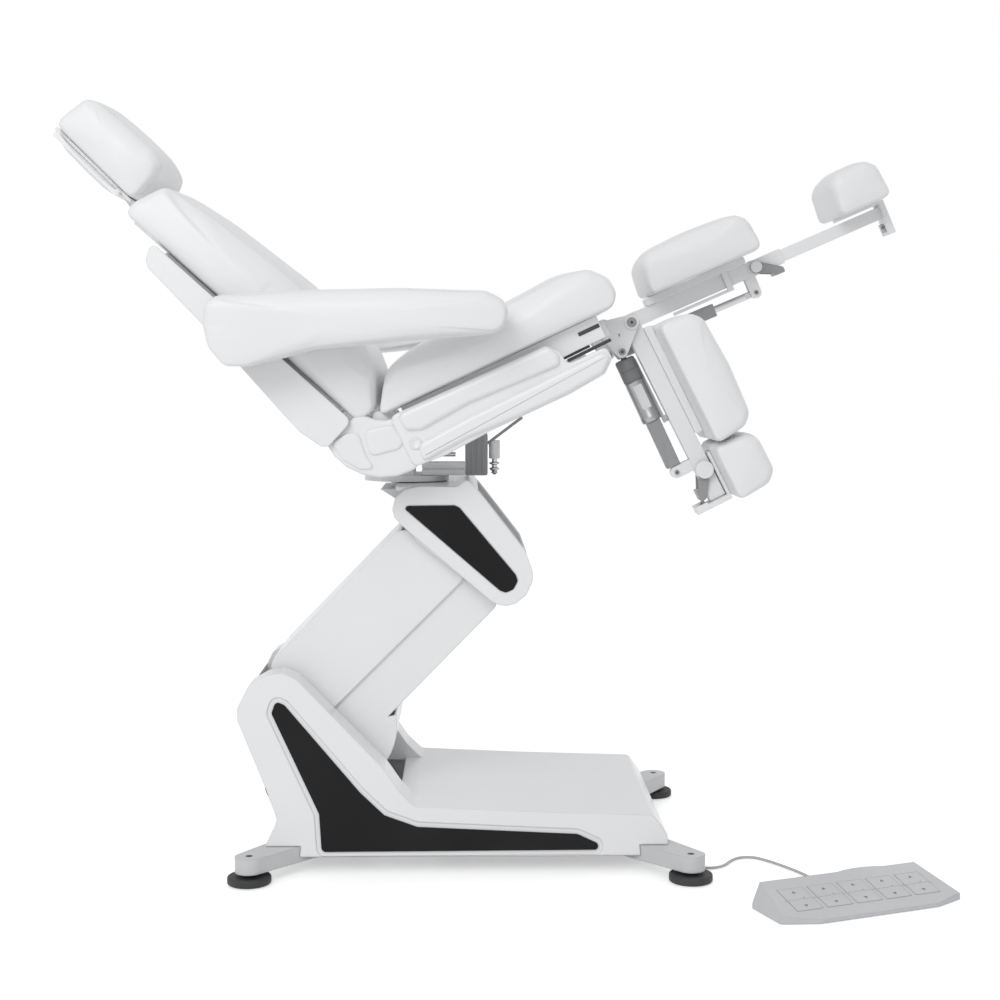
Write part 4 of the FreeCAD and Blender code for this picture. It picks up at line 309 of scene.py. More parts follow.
class Palette:
    """Every finish on the chair, made once and looked up by name."""

    FINISHES = (
        Finish("white leatherette", Coat.LEATHER, (0.86, 0.86, 0.865), (0.81, 0.815, 0.82), 0.44, 0.07, 1100.0,
               0.00022, 0.0),
        Finish("seam thread", Coat.LEATHER, (0.78, 0.78, 0.785), (0.68, 0.68, 0.69), 0.7, 0.05, 2500.0, 0.0001, 0.0),
        Finish("white moulding", Coat.MOULDED, (0.87, 0.87, 0.875), (0.845, 0.847, 0.85), 0.32, 0.03, 260.0, 0.00002,
               0.004, 0.0, 0.25, 0.05),
        Finish("white powder coat", Coat.PAINTED, (0.86, 0.86, 0.865), (0.8, 0.8, 0.81), 0.36, 0.06, 700.0, 0.00008,
               0.0015),
        Finish("pale grey coat", Coat.PAINTED, (0.66, 0.665, 0.67), (0.58, 0.585, 0.59), 0.42, 0.06, 600.0, 0.00008,
               0.003),
        Finish("black inlay", Coat.MOULDED, (0.012, 0.012, 0.013), (0.022, 0.022, 0.023), 0.33, 0.05, 500.0,
               0.00005, 0.002, mirror=0.12),
        Finish("black rubber", Coat.RUBBER, (0.022, 0.022, 0.023), (0.05, 0.05, 0.052), 0.62, 0.08, 1400.0, 0.0002,
               0.002),
        Finish("anodised aluminium", Coat.METAL, (0.42, 0.425, 0.435), (0.34, 0.345, 0.35), 0.34, 0.08, 30.0,
               0.00004, 0.001, 0.85),
        Finish("ground steel", Coat.METAL, (0.62, 0.62, 0.63), (0.5, 0.5, 0.51), 0.22, 0.08, 45.0, 0.00003, 0.0006,
               1.0),
        Finish("dark actuator", Coat.MOULDED, (0.2, 0.2, 0.205), (0.15, 0.15, 0.155), 0.42, 0.06, 500.0, 0.00006,
               0.001),
        Finish("mid grey plastic", Coat.MOULDED, (0.33, 0.33, 0.335), (0.27, 0.27, 0.275), 0.38, 0.06, 600.0,
               0.00006, 0.0015),
        Finish("pale grey plastic", Coat.MOULDED, (0.62, 0.625, 0.635), (0.56, 0.565, 0.575), 0.45, 0.05, 700.0,
               0.00008, 0.002),
        Finish("dark plastic", Coat.MOULDED, (0.05, 0.05, 0.052), (0.08, 0.08, 0.082), 0.45, 0.06, 600.0, 0.00006,
               0.001),
        Finish("cable jacket", Coat.RUBBER, (0.5, 0.505, 0.51), (0.44, 0.445, 0.45), 0.5, 0.05, 1800.0, 0.00004, 0.0),
        Finish("key mark", Coat.MOULDED, (0.2, 0.2, 0.21), (0.16, 0.16, 0.17), 0.5, 0.04, 900.0, 0.00003, 0.0),
        Finish("blank label", Coat.MOULDED, (0.74, 0.74, 0.745), (0.6, 0.6, 0.61), 0.3, 0.05, 300.0, 0.00003, 0.0),
    )

    def __init__(self) -> None:
        """Build the shared effects and every finish."""
        effects = Effects()
        self.made = {finish.name: finish.build(effects) for finish in self.FINISHES}

    def get(self, name: str) -> bpy.types.Material:
        """Return the material of a finish."""
        return self.made[name]

    def dress(self, obj: bpy.types.Object, name: str) -> None:
        """Give a whole object one finish."""
        slots = obj.data.materials
        if len(slots) == 0:
            slots.append(self.made[name])
        for index in range(len(slots)):
            slots[index] = self.made[name]


class MeshKit:
    """Makes the plain meshes that the pieces are built from."""

    @staticmethod
    def make(name: str, points: Sequence[Vector], faces: Sequence[Sequence[int]],
             sharp: float = 35.0) -> bpy.types.Object:
        """Make a closed mesh object with outward faces.

        Args:
            name: the object's name.
            points: corners in metres.
            faces: corner numbers of each face.
            sharp: edges turned by more degrees than this stay sharp.

        Returns:
            The new object, linked to the scene.
        """
        mesh = bpy.data.meshes.new(name)
        mesh.from_pydata([tuple(p) for p in points], [], [tuple(f) for f in faces])
        work = bmesh.new()
        work.from_mesh(mesh)
        bmesh.ops.remove_doubles(work, verts=work.verts, dist=1e-6)
        bmesh.ops.recalc_face_normals(work, faces=work.faces)
        work.to_mesh(mesh)
        work.free()
        MeshKit.smooth(mesh, sharp)
        obj = bpy.data.objects.new(name, mesh)
        bpy.context.scene.collection.objects.link(obj)
        return obj

    @staticmethod
    def smooth(mesh: bpy.types.Mesh, sharp: float) -> None:
        """Shade a mesh smooth and keep edges past an angle sharp."""
        mesh.polygons.foreach_set("use_smooth", [True] * len(mesh.polygons))
        mesh.set_sharp_from_angle(angle=math.radians(sharp))

    @staticmethod
    def rounded(outline: Sequence[Pair], radius: float, steps: int = 6) -> Row:
        """Round the corners of a closed outline.

        Args:
            outline: corners in order, in millimetres.
            radius: the rounding radius, less where a run is short.
            steps: points on each rounded corner.

        Returns:
            The rounded outline.
        """
        made: Row = []
        count = len(outline)
        for index in range(count):
            here = Vector(outline[index])
            back = Vector(outline[index - 1]) - here
            ahead = Vector(outline[(index + 1) % count]) - here
            angle = back.angle(ahead)
            if angle > math.radians(176):
                made.append(tuple(here))
                continue
            cut = min(radius / math.tan(angle / 2), back.length * 0.48, ahead.length * 0.48)
            start = here + back.normalized() * cut
            end = here + ahead.normalized() * cut
            for step in range(steps + 1):
                t = step / steps
                spot = start * (1 - t) ** 2 + here * 2 * t * (1 - t) + end * t ** 2
                made.append((spot.x, spot.y))
        return made

    @staticmethod
    def slab(name: str, view: SideView, outline: Sequence[Pair], y_from: float, y_to: float, corner: float = 3.0,
             edge: float = 2.0, steps: int = 3) -> bpy.types.Object:
        """Make a plate across the chair with rounded rims.

        Args:
            name: the object's name.
            view: the side view frame that the outline lies in.
            outline: (u, v) corners in millimetres.
            y_from: near face.
            y_to: far face.
            corner: rounding of the outline's corners.
            edge: rounding of the rims of both faces.
            steps: faces across each rim.

        Returns:
            The new object.
        """
        flat = MeshKit.rounded(outline, corner) if corner > 0 else list(outline)
        edge = min(edge, corner * 0.9) if corner > 0 else edge
        count = len(flat)
        low, high = sorted((y_from, y_to))
        rings: List[Tuple[float, float]] = []
        for step in range(steps + 1):
            turn = math.radians(90.0 * step / steps)
            rings.append((low + edge * (1 - math.sin(turn)), edge * (1 - math.cos(turn))))
        rings = list(reversed(rings))
        rings = rings + [(high + low - y, inset) for y, inset in reversed(rings)]
        normals = MeshKit.inward(flat)
        points = []
        for y, inset in rings:
            for (u, v), (nu, nv) in zip(flat, normals):
                points.append(view.point(u + nu * inset, v + nv * inset, y))
        faces: List[List[int]] = []
        for ring in range(len(rings) - 1):
            for index in range(count):
                after = (index + 1) % count
                faces.append([ring * count + index, ring * count + after, (ring + 1) * count + after,
                              (ring + 1) * count + index])
        faces.append(list(range(count)))
        faces.append(list(range((len(rings) - 1) * count, len(rings) * count)))
        obj = MeshKit.make(name, points, faces)
        for face in obj.data.polygons:
            face.use_smooth = len(face.vertices) == 4
        return obj

    @staticmethod
    def inward(flat: Sequence[Pair]) -> Row:
        """Return the inward unit normal at each corner of a closed outline."""
        area = sum(flat[i - 1][0] * flat[i][1] - flat[i][0] * flat[i - 1][1] for i in range(len(flat)))
        turn = 1.0 if area > 0 else -1.0
        normals: Row = []
        for index in range(len(flat)):
            before, after = flat[index - 1], flat[(index + 1) % len(flat)]
            run = Vector((after[0] - before[0], after[1] - before[1]))
            run = run.normalized() if run.length > 1e-9 else Vector((1.0, 0.0))
            normals.append((-run.y * turn, run.x * turn))
        return normals

    @staticmethod
    def lathe(name: str, start: Vector, end: Vector, profile: Sequence[Pair], sides: int = 40) -> bpy.types.Object:
        """Turn a profile round an axis.

        Args:
            name: the object's name.
            start: the axis start, in metres.
            end: a second point on the axis.
            profile: (distance along, radius) pairs in millimetres.
            sides: faces round the axis.

        Returns:
            The new object.
        """
        way = (end - start).normalized()
        across = way.orthogonal().normalized()
        up = way.cross(across)
        points, faces = [], []
        for along, radius in profile:
            for side in range(sides):
                turn = 2 * math.pi * side / sides
                points.append(start + way * along * MM + (across * math.cos(turn) + up * math.sin(turn)) * radius * MM)
        for ring in range(len(profile) - 1):
            for side in range(sides):
                after = (side + 1) % sides
                faces.append([ring * sides + side, ring * sides + after, (ring + 1) * sides + after,
                              (ring + 1) * sides + side])
        faces.append(list(range(sides)))
        faces.append(list(range((len(profile) - 1) * sides, len(profile) * sides)))
        return MeshKit.make(name, points, faces)

    @staticmethod
    def merged(name: str, pieces: Sequence[bpy.types.Object]) -> bpy.types.Object:
        """Join several objects into one and return it."""
        work = bmesh.new()
        for piece in pieces:
            work.from_mesh(piece.data)
        mesh = bpy.data.meshes.new(name)
        work.to_mesh(mesh)
        work.free()
        for piece in pieces:
            bpy.data.objects.remove(piece)
        MeshKit.smooth(mesh, 35.0)
        obj = bpy.data.objects.new(name, mesh)
        bpy.context.scene.collection.objects.link(obj)
        return obj


class RepeatTree:
    """Geometry Nodes that set a small solid at each point of a cloud, or along a path."""

    def __init__(self) -> None:
        """Build both trees once."""
        self.studs = self._studs()
        self.stitches = self._stitches()

    @staticmethod
    def _base(name: str, numbers: Dict[str, float]) -> Tuple[Nodes, bpy.types.Node, bpy.types.Node]:
        """Start a tree with a geometry input, number inputs, a material and a geometry output."""
        tree = bpy.data.node_groups.new(name, "GeometryNodeTree")
        tree.interface.new_socket("Geometry", in_out="INPUT", socket_type="NodeSocketGeometry")
        for title, value in numbers.items():
            socket = tree.interface.new_socket(title, in_out="INPUT", socket_type="NodeSocketFloat")
            socket.default_value = value
        tree.interface.new_socket("Finish", in_out="INPUT", socket_type="NodeSocketMaterial")
        tree.interface.new_socket("Geometry", in_out="OUTPUT", socket_type="NodeSocketGeometry")
        kit = Nodes(tree)
        return kit, kit.add("NodeGroupInput"), kit.add("NodeGroupOutput")

    def _close(self, kit: Nodes, start: bpy.types.Node, end: bpy.types.Node, made: bpy.types.NodeSocket) -> None:
        """End a tree in Realize Instances and Set Material."""
        real = kit.add("GeometryNodeRealizeInstances")
        paint = kit.add("GeometryNodeSetMaterial")
        kit.join(made, real.inputs[0])
        kit.feed(paint, {"Geometry": real.outputs[0], "Material": start.outputs["Finish"]})
        kit.join(paint.outputs[0], end.inputs[0])

    def _studs(self) -> bpy.types.NodeTree:
        """Build the tree that stands a cone or post at each point, along its normal attribute."""
        kit, start, end = self._base("Studs on points", {"Sides": 24.0, "Radius": 0.003, "Top": 0.0025,
                                                         "Height": 0.002, "Turn": 0.0})
        post = kit.add("GeometryNodeMeshCone", fill_type="NGON")
        kit.feed(post, {"Vertices": start.outputs["Sides"], "Radius Bottom": start.outputs["Radius"],
                        "Radius Top": start.outputs["Top"], "Depth": start.outputs["Height"]})
        turned = kit.add("GeometryNodeTransform")
        spin = kit.add("ShaderNodeCombineXYZ")
        kit.join(start.outputs["Turn"], spin.inputs["Z"])
        kit.feed(turned, {"Geometry": post.outputs["Mesh"], "Rotation": spin.outputs[0]})
        facing = kit.add("GeometryNodeInputNamedAttribute", data_type="FLOAT_VECTOR")
        facing.inputs["Name"].default_value = "facing"
        along = kit.add("GeometryNodeInputNamedAttribute", data_type="FLOAT_VECTOR")
        along.inputs["Name"].default_value = "along"
        first = kit.add("FunctionNodeAlignRotationToVector", axis="Z")
        kit.join(facing.outputs["Attribute"], first.inputs["Vector"])
        second = kit.add("FunctionNodeAlignRotationToVector", axis="X", pivot_axis="Z")
        kit.feed(second, {"Rotation": first.outputs[0], "Vector": along.outputs["Attribute"]})
        spread = kit.add("GeometryNodeInstanceOnPoints")
        kit.feed(spread, {"Points": start.outputs["Geometry"], "Instance": turned.outputs[0],
                          "Rotation": second.outputs[0]})
        self._close(kit, start, end, spread.outputs[0])
        return kit.tree

    def _stitches(self) -> bpy.types.NodeTree:
        """Build the tree that lays small stitches end to end along a path."""
        kit, start, end = self._base("Stitches on a path", {"Pitch": 0.004, "Length": 0.0028, "Thickness": 0.0008})
        line = kit.add("GeometryNodeMeshToCurve")
        kit.join(start.outputs["Geometry"], line.inputs[0])
        even = kit.add("GeometryNodeResampleCurve", mode="LENGTH")
        kit.feed(even, {"Curve": line.outputs[0], "Length": start.outputs["Pitch"]})
        lay = kit.add("GeometryNodeInputTangent")
        turn = kit.add("FunctionNodeAlignRotationToVector", axis="X")
        kit.join(lay.outputs[0], turn.inputs["Vector"])
        bead = kit.add("GeometryNodeMeshIcoSphere")
        kit.feed(bead, {"Radius": 0.5, "Subdivisions": 1})
        size = kit.add("ShaderNodeCombineXYZ")
        kit.feed(size, {"X": start.outputs["Length"], "Y": start.outputs["Thickness"],
                        "Z": start.outputs["Thickness"]})
        spread = kit.add("GeometryNodeInstanceOnPoints")
        kit.feed(spread, {"Points": even.outputs[0], "Instance": bead.outputs[0], "Rotation": turn.outputs[0],
                          "Scale": size.outputs[0]})
        self._close(kit, start, end, spread.outputs[0])
        return kit.tree

    @staticmethod
    def _apply(obj: bpy.types.Object, tree: bpy.types.NodeTree, values: Dict[str, object]) -> bpy.types.Object:
        """Run a tree on an object and keep its result as a plain mesh."""
        modifier = obj.modifiers.new("Repeat", "NODES")
        modifier.node_group = tree
        for item in tree.interface.items_tree:
            if item.item_type == "SOCKET" and item.in_out == "INPUT" and item.name in values:
                modifier[item.identifier] = values[item.name]
        bpy.context.view_layer.update()
        seen = obj.evaluated_get(bpy.context.evaluated_depsgraph_get())
        mesh = bpy.data.meshes.new_from_object(seen)
        obj.modifiers.remove(modifier)
        obj.data = mesh
        return obj

    def on_points(self, name: str, spots: Sequence[Tuple[Vector, Vector, Vector]], finish: bpy.types.Material,
                  sides: int, radius: float, top: float, height: float, turn: float = 0.0) -> bpy.types.Object:
        """Stand one small solid at each spot.

        Args:
            name: the object's name.
            spots: (place, facing, along) of each, in metres.
            finish: the material they take.
            sides: faces round each.
            radius: radius at the foot, in metres.
            top: radius at the top.
            height: height along facing.
            turn: turn about facing, in degrees.

        Returns:
            The new object.
        """
        mesh = bpy.data.meshes.new(name)
        mesh.from_pydata([tuple(place) for place, _, _ in spots], [], [])
        for title, rank in (("facing", 1), ("along", 2)):
            layer = mesh.attributes.new(title, "FLOAT_VECTOR", "POINT")
            layer.data.foreach_set("vector", [value for spot in spots for value in spot[rank]])
        obj = bpy.data.objects.new(name, mesh)
        bpy.context.scene.collection.objects.link(obj)
        values = {"Sides": float(sides), "Radius": radius, "Top": top, "Height": height,
                  "Turn": math.radians(turn), "Finish": finish}
        made = self._apply(obj, self.studs, values)
        MeshKit.smooth(made.data, 35.0)
        return made

    def along_path(self, name: str, path: Sequence[Vector], finish: bpy.types.Material, pitch: float = 0.0045,
                   length: float = 0.003, thickness: float = 0.0009, closed: bool = False) -> bpy.types.Object:
        """Lay stitches along a path.

        Args:
            name: the object's name.
            path: points of the path, in metres.
            finish: the thread's material.
            pitch: distance from stitch to stitch.
            length: length of a stitch.
            thickness: thickness of the thread.
            closed: whether the path closes on itself.

        Returns:
            The new object.
        """
        mesh = bpy.data.meshes.new(name)
        edges = [(i, i + 1) for i in range(len(path) - 1)]
        if closed:
            edges.append((len(path) - 1, 0))
        mesh.from_pydata([tuple(p) for p in path], edges, [])
        obj = bpy.data.objects.new(name, mesh)
        bpy.context.scene.collection.objects.link(obj)
        values = {"Pitch": pitch, "Length": length, "Thickness": thickness, "Finish": finish}
        made = self._apply(obj, self.stitches, values)
        MeshKit.smooth(made.data, 60.0)
        return made


@dataclass
class Upholstery:
    """One upholstered cushion: a crowned closed form with drawn-in sides, sewn seams and soft creases."""

    name: str
    view: SideView
    profile: Sequence[Pair]
    length: float
    depth: float
    y_from: float
    y_to: float
    corner: float = 20.0
    side_radius: float = 30.0
    draw: float = 8.0
    crown: float = 6.0
    bulge: float = 5.0
    pitch: float = 9.0
    puff: float = 4.0
    limit: float = 5.0
    seam_depth: float = 0.9
    wrinkle: float = 0.8
    trim: Optional[Tuple[SideView, int]] = None

    SEAM_RING = 6

    def outline(self) -> Row:
        """Return the side profile, rounded and evenly divided."""
        corners = [(u * self.length, v * self.depth) for u, v in self.profile]
        smooth = MeshKit.rounded(corners, self.corner, 8)
        total = sum(math.dist(smooth[i - 1], smooth[i]) for i in range(len(smooth)))
        count = max(48, int(total / self.pitch))
        made: Row = []
        travel, index = 0.0, 0
        run = math.dist(smooth[0], smooth[1])
        for step in range(count):
            target = total * step / count
            while travel + run < target - 1e-9:
                travel += run
                index += 1
                run = math.dist(smooth[index % len(smooth)], smooth[(index + 1) % len(smooth)])
            first, second = smooth[index % len(smooth)], smooth[(index + 1) % len(smooth)]
            t = (target - travel) / run if run > 1e-9 else 0.0
            made.append((first[0] + (second[0] - first[0]) * t, first[1] + (second[1] - first[1]) * t))
        return made

    def stations(self) -> List[Tuple[float, float, float]]:
        """Return (offset from the side's crest, inset of the ring, share of the crown) for each ring."""
        half = abs(self.y_to - self.y_from) / 2
        radius = self.side_radius
        rim = math.radians(18.0)
        made: List[Tuple[float, float, float]] = []
        for step in range(8):
            turn = rim + (math.radians(90.0) - rim) * step / 7
            made.append((self.bulge + radius * (math.cos(rim) - math.cos(turn)),
                         radius * 0.8 * (1 - math.sin(turn)), 0.0))
        reach = made[-1][0]
        steps = max(6, int((half - reach) / self.pitch))
        for step in range(1, steps + 1):
            share = step / steps
            made.append((reach + (half - reach) * share, 0.0, math.sin(math.radians(90.0 * share))))
        return made

    def build_shape(self) -> Tuple[List[Vector], List[List[int]], List[float]]:
        """Return the cushion's points, its faces and how firmly each point is held."""
        flat = self.outline()
        normals = MeshKit.inward(flat)
        low_v = min(v for u, v in flat)
        high_v = max(v for u, v in flat)
        centre = (sum(u for u, v in flat) / len(flat), sum(v for u, v in flat) / len(flat))
        middle, half = (self.y_from + self.y_to) / 2, abs(self.y_to - self.y_from) / 2
        half_rings = self.stations()
        rings = [(-half + offset, inset, share) for offset, inset, share in half_rings]
        rings += [(half - offset, inset, share) for offset, inset, share in reversed(half_rings[:-1])]
        points: List[Vector] = []
        held: List[float] = []
        count = len(flat)
        seam_ring = self.SEAM_RING
        for number, (y, inset, share) in enumerate(rings):
            near = min(number, len(rings) - 1 - number)
            groove = self.seam_depth if near == seam_ring else 0.0
            for (u, v), (nu, nv) in zip(flat, normals):
                rise = (v - low_v) / (high_v - low_v)
                lift = self.crown * share * rise ** 2
                ease = 0.25 + 0.75 * rise
                sink = inset * ease + groove
                points.append(self.view.point(u + nu * sink, v + nv * sink + lift, middle + y))
                held.append(1.0 if near == seam_ring or rise < 0.06 else 0.0)
        faces: List[List[int]] = []
        for ring in range(len(rings) - 1):
            for index in range(count):
                after = (index + 1) % count
                faces.append([ring * count + index, ring * count + after, (ring + 1) * count + after,
                              (ring + 1) * count + index])
        for ring, sign in ((0, -1), (len(rings) - 1, 1)):
            previous = list(range(ring * count, (ring + 1) * count))
            inset = half_rings[0][1]
            for level in range(1, 7):
                share = level / 6.5
                out = self.bulge * (1 - (1 - share) ** 2)
                fresh = []
                for (u, v), (nu, nv) in zip(flat, normals):
                    rise = (v - low_v) / (high_v - low_v)
                    ease = 0.25 + 0.75 * rise
                    start_u, start_v = u + nu * inset * ease, v + nv * inset * ease
                    fresh.append(len(points))
                    points.append(self.view.point(start_u + (centre[0] - start_u) * share,
                                                  start_v + (centre[1] - start_v) * share,
                                                  middle + sign * (half + out - self.bulge)))
                    held.append(0.0)
                for index in range(count):
                    after = (index + 1) % count
                    faces.append([previous[index], previous[after], fresh[after], fresh[index]])
                previous = fresh
            hub = len(points)
            points.append(self.view.point(centre[0], centre[1], middle + sign * half))
            held.append(0.0)
            for index in range(count):
                faces.append([previous[index], previous[(index + 1) % count], hub])
        return points, faces, held

    def inflate(self, obj: bpy.types.Object, held: Sequence[float]) -> None:
        """Puff the cushion with a short cloth run, held at its seams and underside.

        Args:
            obj: the cushion.
            held: 1 for each point that the seam or the board holds.
        """
        group = obj.vertex_groups.new(name="held")
        for index, value in enumerate(held):
            if value > 0.0:
                group.add([index], value, "REPLACE")
        start = [v.co.copy() for v in obj.data.vertices]
        cloth = obj.modifiers.new("Puff", "CLOTH")
        cloth.settings.quality = 4
        cloth.settings.mass = 0.4
        cloth.settings.tension_stiffness = 18
        cloth.settings.compression_stiffness = 14
        cloth.settings.bending_stiffness = 1.2
        cloth.settings.vertex_group_mass = "held"
        cloth.settings.use_pressure = True
        cloth.settings.uniform_pressure_force = self.puff
        cloth.settings.effector_weights.gravity = 0.0
        cloth.collision_settings.use_collision = False
        cloth.point_cache.frame_start = 1
        cloth.point_cache.frame_end = 14
        scene = bpy.context.scene
        for step in range(1, 15):
            scene.frame_set(step)
        seen = obj.evaluated_get(bpy.context.evaluated_depsgraph_get())
        moved = [v.co.copy() for v in seen.data.vertices]
        obj.modifiers.remove(cloth)
        scene.frame_set(1)
        for index, (old, new) in enumerate(zip(start, moved)):
            shift = new - old
            if shift.length > self.limit * MM:
                shift = shift.normalized() * self.limit * MM
            obj.data.vertices[index].co = old + shift
        obj.vertex_groups.clear()

    def crease(self, obj: bpy.types.Object) -> None:
        """Move points by a soft noise, more near the seams, so that the cover looks drawn over foam."""
        normals = [v.normal.copy() for v in obj.data.vertices]
        for vertex, normal in zip(obj.data.vertices, normals):
            slow = noise.noise(vertex.co * 9.0)
            quick = noise.noise(Vector((vertex.co.x * 30.0, vertex.co.y * 55.0, vertex.co.z * 30.0)))
            vertex.co += normal * (slow * self.wrinkle + quick * self.wrinkle * 0.3) * MM

    def cut_back(self, obj: bpy.types.Object) -> None:
        """Keep the cushion on its own side of the plane where it meets its neighbour."""
        if self.trim is None:
            return
        view, sign = self.trim
        origin = view.point(0, 0, 0)
        square = (view.point(0, 1.0, 0) - origin).normalized() * sign
        for vertex in obj.data.vertices:
            reach = (vertex.co - origin).dot(square)
            if reach < 0.0006:
                vertex.co += square * (0.0006 - reach)

    def seam_paths(self) -> List[List[Vector]]:
        """Return the two sewn lines round the cushion's sides."""
        flat = self.outline()
        normals = MeshKit.inward(flat)
        low_v, high_v = min(v for u, v in flat), max(v for u, v in flat)
        middle, half = (self.y_from + self.y_to) / 2, abs(self.y_to - self.y_from) / 2
        offset, inset, _ = self.stations()[self.SEAM_RING]
        paths = []
        for sign in (-1, 1):
            path = []
            for (u, v), (nu, nv) in zip(flat, normals):
                rise = (v - low_v) / (high_v - low_v)
                sink = inset * (0.25 + 0.75 * rise) + self.seam_depth * 0.75
                path.append(self.view.point(u + nu * sink, v + nv * sink, middle + sign * (half - offset)))
            paths.append(path)
        return paths

    def build(self, palette: Palette, repeats: RepeatTree, body: str, fill: float) -> bpy.types.Object:
        """Args:
            palette: the chair's finishes.
            repeats: the repeating trees.
            body: the CAD body that carries it.
            fill: not used.

        Returns:
            The cushion.
        """
        points, faces, held = self.build_shape()
        mesh = bpy.data.meshes.new(self.name + "_pad")
        mesh.from_pydata([tuple(p) for p in points], [], faces)
        work = bmesh.new()
        work.from_mesh(mesh)
        bmesh.ops.recalc_face_normals(work, faces=work.faces)
        work.to_mesh(mesh)
        work.free()
        obj = bpy.data.objects.new(self.name + "_pad", mesh)
        bpy.context.scene.collection.objects.link(obj)
        self.inflate(obj, held)
        self.crease(obj)
        self.cut_back(obj)
        MeshKit.smooth(obj.data, 80.0)
        swell = obj.modifiers.new("Smooth", "SUBSURF")
        swell.levels = 1
        swell.render_levels = 1
        palette.dress(obj, "white leatherette")
        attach(obj, body)
        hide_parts(self.name)
        for number, path in enumerate(self.seam_paths()):
            seam = repeats.along_path(self.name + "_seam_" + str(number + 1), path, palette.get("seam thread"),
                                      closed=True)
            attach(seam, body)
        log.info("%s: %d points", self.name, len(points))
        return obj


@dataclass
class Cushions:
    """All the upholstery on the chair."""

    seat_half_width: float = 285.0
    arm_half_gap: float = 304.0
    arm_width: float = 94.0

    SEAT_PROFILE = ((0.009, 0.2), (0.04, 0.6), (0.13, 0.88), (0.26, 0.98), (0.62, 0.98), (0.86, 1.04),
                    (0.955, 0.94), (1.01, 0.6), (1.015, 0.24), (0.98, 0.0), (0.012, 0.0))
    BACK_PROFILE = ((0.022, 0.1), (0.09, 0.72), (0.185, 1.12), (0.507, 1.12), (0.804, 0.96), (0.978, 0.76),
                    (1.018, -0.08), (1.012, -0.42), (0.05, -0.44), (0.03, -0.2))
    HEADREST_PROFILE = ((0.165, 0.5), (0.2, 0.78), (0.3, 0.9), (0.55, 0.92), (0.85, 0.9), (0.955, 0.78),
                        (1.0, -0.04), (0.18, -0.14))
    ARM_PROFILE = ((0.0, 0.55), (0.004, 0.83), (0.043, 0.91), (0.366, 0.98), (0.657, 1.0), (0.925, 0.97),
                   (0.98, 0.87), (1.0, 0.75), (0.99, 0.54), (0.955, 0.45), (0.655, 0.36), (0.358, 0.24),
                   (0.138, 0.02), (0.067, 0.02), (0.016, 0.27))
    CALF_PROFILE = ((0.0, 0.12), (0.02, 0.75), (0.1, 0.97), (0.5, 1.03), (0.9, 0.97), (0.98, 0.75), (1.0, 0.12),
                    (0.97, 0.0), (0.03, 0.0))
    FOOT_PROFILE = ((0.0, 0.1), (0.03, 0.75), (0.2, 0.97), (0.8, 0.98), (0.97, 0.75), (1.0, 0.1), (0.93, 0.0),
                    (0.07, 0.0))

    def build(self, palette: Palette, repeats: RepeatTree) -> None:
        """Make every cushion.

        Args:
            palette: the chair's finishes.
            repeats: the repeating trees.
        """
        meeting = SideView(HINGE.x, HINGE.z, (SEAT.angle + BACK.angle) / 2)
        half = self.seat_half_width
        seat_view = SideView(*SEAT.flat(0.0, 1.0), SEAT.angle)
        Upholstery("seat_cushion", seat_view, self.SEAT_PROFILE, 460.0, 84.0, -half, half, crown=7.0,
                   trim=(meeting, -1)).build(palette, repeats, "seat", 0.75)
        Upholstery("back_cushion", BACK, self.BACK_PROFILE, 550.0, 70.0, -half, half, crown=7.0,
                   trim=(meeting, 1)).build(palette, repeats, "back", 0.75)
        Upholstery("headrest_cushion", HEADREST, self.HEADREST_PROFILE, 240.0, 90.0, -140.0, 140.0, crown=6.0,
                   pitch=7.0).build(palette, repeats, "headrest", 0.8)
        pivot = BACK.flat(257.0, -64.0)
        pad_view = SideView(pivot[0] - 50.8, pivot[1] - 39.0, 0.0)
        for side in Side:
            name = side.name.lower()
            near, far = sorted((side.value * self.arm_half_gap, side.value * (self.arm_half_gap + self.arm_width)))
            Upholstery("armrest_pad_" + name, pad_view, self.ARM_PROFILE, 508.0, 130.0, near, far, crown=4.0,
                       side_radius=18.0, pitch=7.0, limit=2.5).build(palette, repeats, "armrest_" + name, 0.85)
        for side, view, shift, extension in ((Side.RIGHT, LEG_RIGHT, 0.0, 0.0), (Side.LEFT, LEG_LEFT, 50.0, 160.0)):
            name = side.name.lower()
            centre = side.value * 140.0
            calf_view = SideView(*view.flat(25.0 + shift, 29.6), view.angle)
            Upholstery("calf_cushion_" + name, calf_view, self.CALF_PROFILE, 233.0, 82.0, centre - 124.0,
                       centre + 124.0, corner=26.0, crown=5.0, pitch=7.0, side_radius=28.0).build(
                palette, repeats, "calf_" + name, 0.8)
            foot_view = SideView(*view.flat(260.0 + shift + extension, 23.0), view.angle)
            Upholstery("foot_cushion_" + name, foot_view, self.FOOT_PROFILE, 108.0, 84.0, centre - 108.0,
                       centre + 108.0, corner=24.0, crown=5.0, pitch=6.0, side_radius=26.0).build(
                palette, repeats, "foot_" + name, 0.8)
